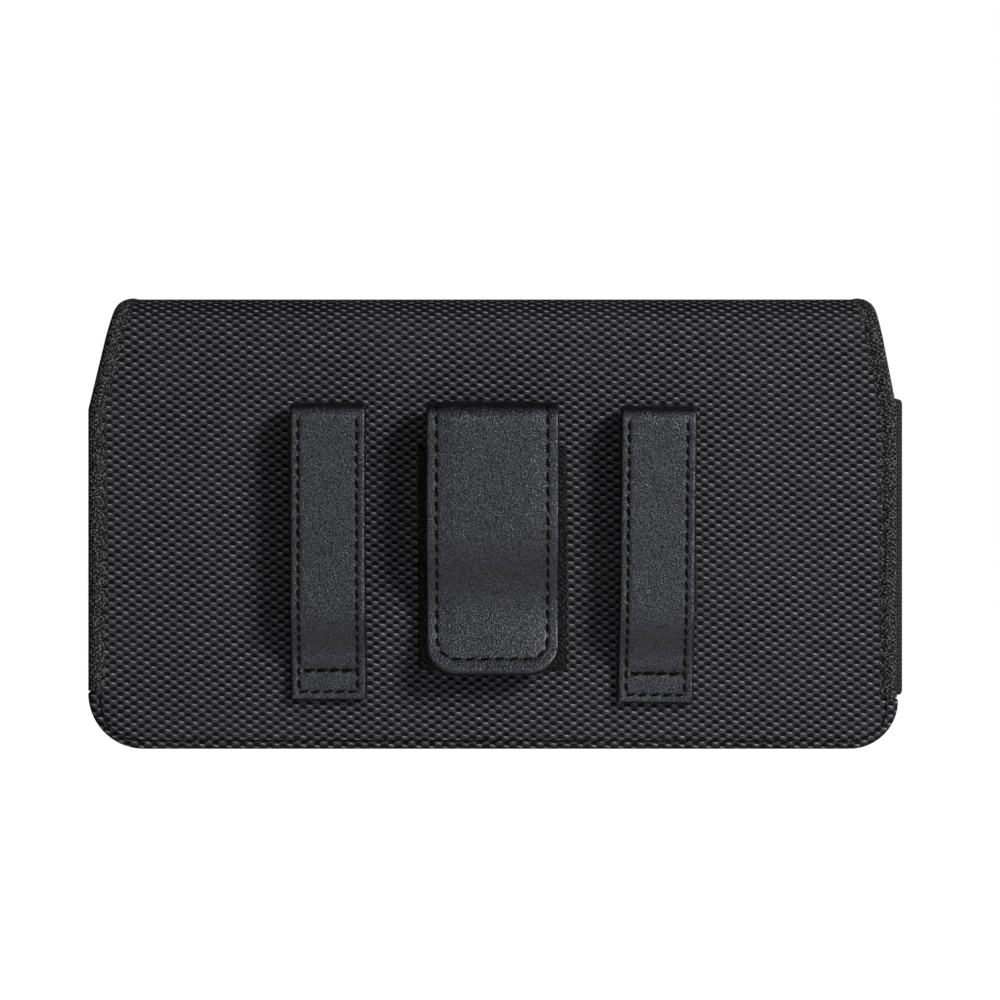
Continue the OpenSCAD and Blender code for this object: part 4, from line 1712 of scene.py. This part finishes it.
@dataclass
class SideGussets:
    """The two elastic sides between the back and the moulded front.

    Pairs hold the left and the right side.
    """

    shop: Workshop
    foot_w: float = 4.3
    foot_round: float = 0.6
    lip_inset: float = 1.1
    thickness: float = 1.0
    bows: Pair = (-1.2, 6.0)
    bow_power: float = 2.6
    corner: float = 1.3

    def fold(self, side: Side) -> Fold:
        """The elastic's middle line in X and Y: a foot on the back, a turn and a bow to the front's lip.

        The bow is its height times sin(pi s) to a power, added to a straight line from foot to lip.

        Args:
            side: which side.

        Returns:
            The fold, with its width along Z.
        """
        layout, turn_r = self.shop.layout, self.foot_round
        foot_x = layout.back_half - self.foot_w
        run = layout.back_half - layout.seam_w - self.lip_inset - foot_x
        start_y = layout.seam_y + self.thickness / 2
        share = np.linspace(0, 1, 40)
        x = foot_x + run * share + self.bows[side > 0] * np.sin(np.pi * share) ** self.bow_power
        y = start_y + turn_r + (layout.gusset_front_y - start_y - turn_r) * share
        foot = [(layout.back_half - 0.4, start_y), (foot_x + turn_r, start_y)]
        turn = arc((foot_x + turn_r, start_y + turn_r), turn_r, 270, 180, 5)[1:-1]
        line = np.vstack([foot, turn, np.stack([x, y], axis=-1)])
        return Fold(resampled(line * [side, 1], 0.3), across=Across.Z, outward=-side)

    def build_side(self, side: Side) -> Thing:
        """One gusset, with its front upper and lower corners rounded off.

        Args:
            side: which side.

        Returns:
            The piece.
        """
        layout, fold = self.shop.layout, self.fold(side)
        low = layout.gusset_z[side > 0]
        z = graded(layout.mouth_z - low, 0.4, 1.6, 2.5) + low
        places = np.stack(np.meshgrid(z, lengths_along(fold.line)), axis=-1)
        distance = np.minimum(places[..., 0] - low, layout.mouth_z - places[..., 0])
        height = self.thickness / 2 - round_over(distance, self.thickness / 2 - 0.02)
        outer, inner = fold.lay(places, height), fold.lay(places, -height)
        beyond = np.clip(side * outer[..., 0] - (layout.back_half - self.foot_w + 0.5), 0, None)
        tucked = side * np.minimum(beyond, round_over(distance, self.corner) * smoothstep(0, 3, beyond))
        outer[..., 0] -= tucked
        inner[..., 0] -= tucked
        flat = places[..., ::-1]
        piece = shell(f"{side.word}_elastic_side", outer, inner, flat)
        return self.shop.dress(piece, Finishes.ELASTIC, Slot.ELASTIC, Body.POUCH, f"{side.word}_gusset")

    def build(self) -> list[Thing]:
        """Builds both sides."""
        return [self.build_side(side) for side in Side]


@dataclass
class BeltLoop:
    """One leather belt loop: a strap folded at the top, with a stitched edge and a boxed foot."""

    shop: Workshop
    word: str
    middle_x: float
    drop: float = 0.0
    tilt: float = 0.0
    width: float = 16.3
    strap_t: float = 2.0
    tail_t: float = 1.0
    tail: float = 9.0
    length: float = 63.8
    top_z: float = 29.5
    stand: float = 7.6
    sewn_flat: float = 7.0
    straight_from: float = 20.0
    edge_round: float = 0.75
    back_round: float = 0.3
    stitch_inset: float = 1.9
    stitch_pitch: float = 2.6
    box_height: float = 4.6
    steps: Steps = (0.3, 0.8, 3.2)

    def fold(self) -> Fold:
        """The strap's outer face, from the lower end up, over the bend and down to the tail.

        It stands off the back by half a cosine from the foot to the straight run.

        Returns:
            The fold, with S counted from the lower end.
        """
        radius, end_z = self.stand / 2, self.top_z - self.length
        bend_z = self.top_z - radius
        z = np.linspace(end_z, bend_z, 120)[:-1]
        straight, flat = end_z + self.straight_from, end_z + self.sewn_flat
        eased = (1 + np.cos(np.pi * np.clip((straight - z) / (straight - flat), 0, 1))) / 2
        run = np.stack([-self.strap_t - (self.stand - self.strap_t) * eased, z], axis=-1)
        over = arc((-radius, bend_z), radius, 180, 0, 40)
        return Fold(resampled(np.vstack([run, over, (0.0, bend_z - self.tail)]), 0.35))

    def turned(self, points: Array) -> Array:
        """Leans points by the sewn tilt about the holster's middle, and moves them to the loop.

        Args:
            points: points, with a last axis of 3.

        Returns:
            The points in their new places.
        """
        lean = math.radians(self.tilt)
        x, y, z = np.moveaxis(points, -1, 0)
        return np.stack([x * math.cos(lean) + z * math.sin(lean) + self.middle_x, y,
                         z * math.cos(lean) - x * math.sin(lean) - self.drop], axis=-1)

    def seams(self, crown: float) -> dict[str, Seam]:
        """The rows of stitches: a U up both edges to the crown, and a row across the top of the foot.

        Args:
            crown: S at which the edges' rows end.

        Returns:
            The seams, by the words for them.
        """
        half, foot = self.width / 2 - self.stitch_inset, self.stitch_inset - 0.1
        u = np.array([[-half, crown], [-half, foot], [half, foot], [half, crown]])
        box = np.array([[-half + 0.8, foot + self.box_height], [half - 0.8, foot + self.box_height]])
        up = Seam(resampled(u, 0.3), self.stitch_pitch, thread=0.28, gap=0.5, press=0.2, spread=0.45)
        over = Seam(box, self.stitch_pitch, thread=0.34, gap=0.3, press=0.5, spread=0.6, slant=0.15)
        return {"edge": up, "foot": over}

    def build(self) -> list[Thing]:
        """Makes the strap and its stitches.

        The face's height is minus the rounded edge and the grooves. The back's is minus the thickness, which
        is pared from strap to tail round the bend.

        Returns:
            The strap and its rows of stitches.
        """
        fold = self.fold()
        pattern = Pattern.strip(self.width / 2, 0.0, fold.length, 0.5)
        flat = pattern.grid(*self.steps)
        distance = np.minimum(pattern.edge_distance(flat), fold.length - flat[..., 1])
        turn = np.pi * self.stand / 2
        bend = fold.length - self.tail - turn
        seams = self.seams(bend + 0.6)
        pressed, hole = np.max([seam.relief(flat) for seam in seams.values()], axis=0)
        pared = np.clip((flat[..., 1] - bend) / turn, 0, 1)
        thick = self.strap_t + (self.tail_t - self.strap_t) * pared
        waver = ripple(flat, 0.05, (5.0, 6.0), (np.pi / 2, self.middle_x))
        outer = self.turned(fold.lay(flat, waver - round_over(distance, self.edge_round) - pressed))
        inner = self.turned(fold.lay(flat, round_over(distance, self.back_round) - thick))
        strap = shell(f"{self.word}_loop_strap", outer, inner, flat, hole)
        made = [self.shop.dress(strap, Finishes.LEATHER, Slot.LEATHER, Body.POUCH, f"{self.word}_belt_loop")]
        for word, seam in seams.items():
            threads = seam.threads(f"{self.word}_loop_{word}_stitches", fold, -0.04)
            self.turn_mesh(threads)
            made.append(self.shop.dress(threads, Finishes.THREAD, Slot.LEATHER, Body.POUCH))
        return made

    def turn_mesh(self, piece: Thing) -> None:
        """Leans and moves a finished mesh as the strap is.

        Args:
            piece: the piece, whose points are changed in place.
        """
        points = np.empty(len(piece.data.vertices) * 3, np.float32)
        piece.data.vertices.foreach_get("co", points)
        moved = self.turned(points.reshape(-1, 3) / MM) * MM
        piece.data.vertices.foreach_set("co", moved.astype(np.float32).reshape(-1))
        piece.data.update()


@dataclass
class BeltClip:
    """The leather-covered spring clip on its leather pad."""

    shop: Workshop
    width: float = 28.4
    top_z: float = 29.6
    tip_z: float = -28.0
    stand: float = 10.2
    dip_z: float = -14.6
    dip_run: float = 16.6
    dip_gap: float = 0.5
    lip_flare: float = 4.2
    flare_angle: float = 75.0
    lip_corner: float = 6.5
    steel_w: float = 22.0
    steel_t: float = 1.0
    leather_t: float = 0.8
    pad_w: float = 32.0
    pad_top: float = 20.0
    pad_bottom: float = -28.0
    back_end: float = -4.0
    stitch_inset: float = 2.35
    tip_inset: float = 3.0
    seam_end: float = 2.2
    edge_round: float = 0.6
    pad_round: float = 0.5
    swell: float = 0.22
    swell_rise: Pair = (2.6, 6.5)
    face_steps: Steps = (0.3, 0.8, 4.5)
    plain_steps: Steps = (0.4, 1.2, 2.5)

    @property
    def tongue_t(self) -> float:
        """Thickness of the tongue, steel and both leathers."""
        return 2 * self.leather_t + self.steel_t

    def stand_at(self, z: Array) -> Array:
        """How far the tongue's face stands off the back.

        It is straight above, half a cosine in to the dip, and a part of a cosine out to the lip.

        Args:
            z: heights.

        Returns:
            The distances from the back's face.
        """
        dip = self.leather_t + self.dip_gap + self.tongue_t
        inward = (1 + np.cos(np.pi * np.clip(1 - (z - self.dip_z) / self.dip_run, 0, 1))) / 2
        reach = math.radians(self.flare_angle)
        flare = 1 - np.cos(reach * np.clip((self.dip_z - z) / (self.dip_z - self.tip_z), 0, 1))
        above, below = dip + (self.stand - dip) * inward, dip + self.lip_flare * flare / (1 - math.cos(reach))
        return np.where(z > self.dip_z, above, below)

    def tongue_fold(self) -> Fold:
        """The tongue's outer face, from the tip up to the crown of the bend.

        Returns:
            The fold, with S counted from the tip.
        """
        radius = self.stand / 2
        z = np.linspace(self.tip_z, self.top_z - radius, 160)[:-1]
        turn = arc((-radius, self.top_z - radius), radius, 180, 90, 24)
        return Fold(resampled(np.vstack([np.stack([-self.stand_at(z), z], axis=-1), turn]), 0.35))

    def back_fold(self, end: float) -> Fold:
        """The fixed side's outer face, from its lower end up the back and over to the crown.

        Args:
            end: Z of its lower end.

        Returns:
            The fold, with S counted from that end.
        """
        radius = self.stand / 2
        turn = arc((-radius, self.top_z - radius), radius, 0, 90, 24)
        return Fold(resampled(np.vstack([(0.0, end), turn]), 0.35), outward=-1)

    def tongue_face(self) -> list[Thing]:
        """The tongue's outer leather, swollen a little over the steel, and its stitches.

        The row runs down one edge, round the tip and up the other edge.

        Returns:
            The leather and its stitches.
        """
        fold = self.tongue_fold()
        line = Pattern.strip(self.width / 2, 0.0, fold.length - self.seam_end, self.lip_corner).outline()
        line = resampled(line, 0.3)
        low = smoothstep(self.lip_corner + 3, 0, line[:, 1])
        inset = self.stitch_inset + (self.tip_inset - self.stitch_inset) * low
        seam = Seam(inset_line(line, inset), 3.1, thread=0.3, gap=0.6, press=0.16, spread=0.42)
        pattern = Pattern.strip(self.width / 2, 0.0, fold.length, self.lip_corner)
        flat = pattern.grid(*self.face_steps)
        distance = pattern.edge_distance(flat)
        press, hole = seam.relief(flat)
        waver = ripple(flat, 0.06, (4.0, 5.0), (0.5, 0.0))
        swell = self.swell * smoothstep(*self.swell_rise, distance)
        top = swell - round_over(distance, self.edge_round) - press + waver
        face = layer("clip_face_leather", fold, flat, top, -self.leather_t, hole)
        threads = seam.threads("clip_face_stitches", fold, -0.04)
        return [self.shop.dress(face, Finishes.LEATHER, Slot.LEATHER, Body.CLIP, "clip_outer_leather"),
                self.shop.dress(threads, Finishes.THREAD, Slot.LEATHER, Body.CLIP)]

    def under_steel(self, name: str, fold: Fold, corner: float, margin: float, steel: Pair, body: Body,
                    node: str) -> Thing:
        """A leather that lies against the outer one at its rim, and under the steel between.

        Args:
            name: the piece's name.
            fold: the outer leather's face.
            corner: radius of its lower corners.
            margin: how far from an edge its grid is fine.
            steel: how far in the steel's edge begins to lift it, and how far in it lies flat.
            body: the body that carries it.
            node: the solid that it stands for.

        Returns:
            The piece.
        """
        pattern = Pattern.strip(self.width / 2, 0.0, fold.length, corner)
        flat = pattern.grid(0.6, 1.4, margin)
        distance = pattern.edge_distance(flat)
        top = -self.leather_t - self.steel_t * smoothstep(*steel, distance)
        piece = layer(name, fold, flat, top, round_over(distance, self.edge_round) - self.tongue_t)
        return self.shop.dress(piece, Finishes.LEATHER, Slot.LEATHER, body, node)

    def plain(self, name: str, fold: Fold, pattern: Pattern, thick: float, finish: Finishes,
              *nodes: str) -> Thing:
        """A plain layer on the fixed side. Its top edge is rounded too where it stands for a solid.

        Args:
            name: the piece's name.
            fold: its outer face.
            pattern: its flat cut.
            thick: its thickness.
            finish: its finish.
            nodes: the solids that it stands for.

        Returns:
            The piece.
        """
        flat = pattern.grid(*self.plain_steps)
        distance = pattern.edge_distance(flat)
        if nodes:
            distance = np.minimum(distance, pattern.high - flat[..., 1])
        piece = layer(name, fold, flat, -round_over(distance, self.pad_round), -thick)
        return self.shop.dress(piece, finish, Slot.LEATHER, Body.POUCH, *nodes)

    def build(self) -> list[Thing]:
        """Builds the tongue, the leather over the riveted leg, the wide pad, and the sleeve behind the pad.

        Returns:
            The pieces. The sleeve rises from behind the pad over the bend to the crown.
        """
        side = (self.width - self.steel_w) / 2
        pad_fold = Fold(np.array([(-self.leather_t, z) for z in (self.pad_bottom, self.pad_top)]),
                        start=self.pad_bottom)
        pad = Pattern.strip(self.pad_w / 2, self.pad_bottom, self.pad_top, 1.0)
        leg, sleeve = self.back_fold(self.back_end), self.back_fold(self.pad_top - 0.6)
        strip = Pattern.strip(self.width / 2, 0.0, sleeve.length, 0.4)
        return self.tongue_face() + [
            self.under_steel("clip_inside_leather", self.tongue_fold(), self.lip_corner, 4.5,
                             (side - 1.0, side - 0.2), Body.CLIP, "clip_inner_leather"),
            self.under_steel("clip_back_lining", leg, 4.0, 3.5, (1.4, 2.6), Body.POUCH, "clip_back_leather"),
            self.plain("clip_pad_leather", pad_fold, pad, self.leather_t - 0.02, Finishes.PAD, "clip_pad"),
            self.plain("clip_sleeve_leather", sleeve, strip, self.leather_t, Finishes.LEATHER)]


@dataclass
class HardParts:
    """The solids that stay as they are and only get a finish."""

    shop: Workshop

    def build(self) -> list[Thing]:
        """Gives each node its material.

        Returns:
            The nodes.
        """
        wanted = {
            Finishes.BOARD: ("back_board", "front_board", "flap_board"),
            Finishes.STEEL: ("left_catch_plate", "right_catch_plate", "clip_spring", "clip_back_leg"),
            Finishes.MAGNET: ("left_flap_magnet", "right_flap_magnet"),
            Finishes.RIVET: ("clip_rivets",),
        }
        solids = [(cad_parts[name], finish) for finish, names in wanted.items() for name in names]
        for solid, finish in solids:
            solid.data.materials.clear()
            solid.data.materials.append(self.shop.materials[finish])
        return [solid for solid, _ in solids]


@dataclass(frozen=True)
class SoftLight:
    """A square soft light that faces the origin, and whether it leaves a reflection."""

    name: str
    place: Place
    size: float
    power: float
    glossy: bool = True

    def build(self) -> None:
        """Hangs the light."""
        data = bpy.data.lights.new(self.name, "AREA")
        data.shape, data.size, data.energy = "SQUARE", self.size, self.power
        made = linked(self.name, data)
        made.location = self.place
        away = np.array(self.place) / np.linalg.norm(self.place)
        made.rotation_euler = (math.acos(away[2]), 0, math.atan2(away[1], away[0]) + math.pi / 2)
        made.visible_glossy = self.glossy


@dataclass
class Studio:
    """The floor, the lights, the white surroundings and the camera, in metres."""

    floor_z: float = -0.16
    floor_half: float = 6.0
    floor_tone: Rgb = (0.75, 0.75, 0.75)
    distance: float = 1.0
    seen_width: float = 0.215
    sensor: float = 36.0
    aim: Pair = (0.0016, 0.0086)
    ambient: float = 0.02
    lights: tuple[SoftLight, ...] = (
        SoftLight("key", (0.88, -0.82, 0.62), 0.36, 19.0),
        SoftLight("soft", (-0.2, -1.25, 0.45), 0.9, 2.0),
        SoftLight("front_fill", (0.3, 1.1, 0.15), 0.8, 14.0, glossy=False),
    )

    def camera(self) -> None:
        """Looks straight at the belt side, from a metre away."""
        data = bpy.data.cameras.new("view")
        data.sensor_width = self.sensor
        data.lens = self.sensor * self.distance / self.seen_width
        made = linked("view", data)
        made.location = (self.aim[0], -self.distance, self.aim[1])
        made.rotation_euler = (math.pi / 2, 0, 0)
        bpy.context.scene.camera = made

    def surroundings(self) -> None:
        """White to the camera, and a soft pale light to everything else."""
        world = bpy.data.worlds.new("surroundings")
        world.use_nodes = True
        bpy.context.scene.world = world
        world.node_tree.nodes.clear()
        bench = NodeBench(world.node_tree)
        seen = bench.add("ShaderNodeLightPath").outputs["Is Camera Ray"]
        strength = bench.plus(self.ambient, bench.times(seen, 1 - self.ambient))
        back = bench.add("ShaderNodeBackground", {"Color": (1, 1, 1), "Strength": strength}).outputs[0]
        bench.add("ShaderNodeOutputWorld", {"Surface": back})

    def floor(self) -> None:
        """A wide plain pale floor below the holster, lightened where the camera sees it."""
        material, bench, shader = blank_material("pale_floor")
        seen = bench.add("ShaderNodeLightPath").outputs["Is Camera Ray"]
        for key, value in {"Base Color": self.floor_tone, "Roughness": 0.9, "Emission Color": (1, 1, 1),
                           "Emission Strength": seen}.items():
            bench.put(shader.inputs[key], value)
        half, mesh = self.floor_half, bpy.data.meshes.new("floor")
        corners = [(x * half, y * half, self.floor_z) for x, y in ((-1, -1), (1, -1), (1, 1), (-1, 1))]
        mesh.from_pydata(corners, [], [(0, 1, 2, 3)])
        mesh.materials.append(material)
        linked("floor", mesh)

    def build(self) -> None:
        """Sets the whole stage, with plain tones."""
        bpy.context.scene.view_settings.view_transform = "Standard"
        for step in (self.camera, self.surroundings, self.floor, *(light.build for light in self.lights)):
            step()


def main() -> None:
    """Builds the stage and then each sub-assembly, and reports every piece."""
    logging.basicConfig(level=logging.INFO, format="%(name)s %(message)s")
    Studio().build()
    effects = Effects()
    shop = Workshop(Layout.read(), {finish: finish.value.build(effects) for finish in Finishes})
    loops = (BeltLoop(shop, "left", -35.2), BeltLoop(shop, "right", 35.3, drop=0.7, tilt=0.6))
    sewn = (Skins(shop), EdgeTape(shop), FrontTray(shop), SideGussets(shop))
    for group in (*sewn, *loops, BeltClip(shop), HardParts(shop)):
        for piece in group.build():
            LOG.info("%s: %s, %d faces", type(group).__name__, piece.name, len(piece.data.polygons))


if __name__ == "__main__":
    main()
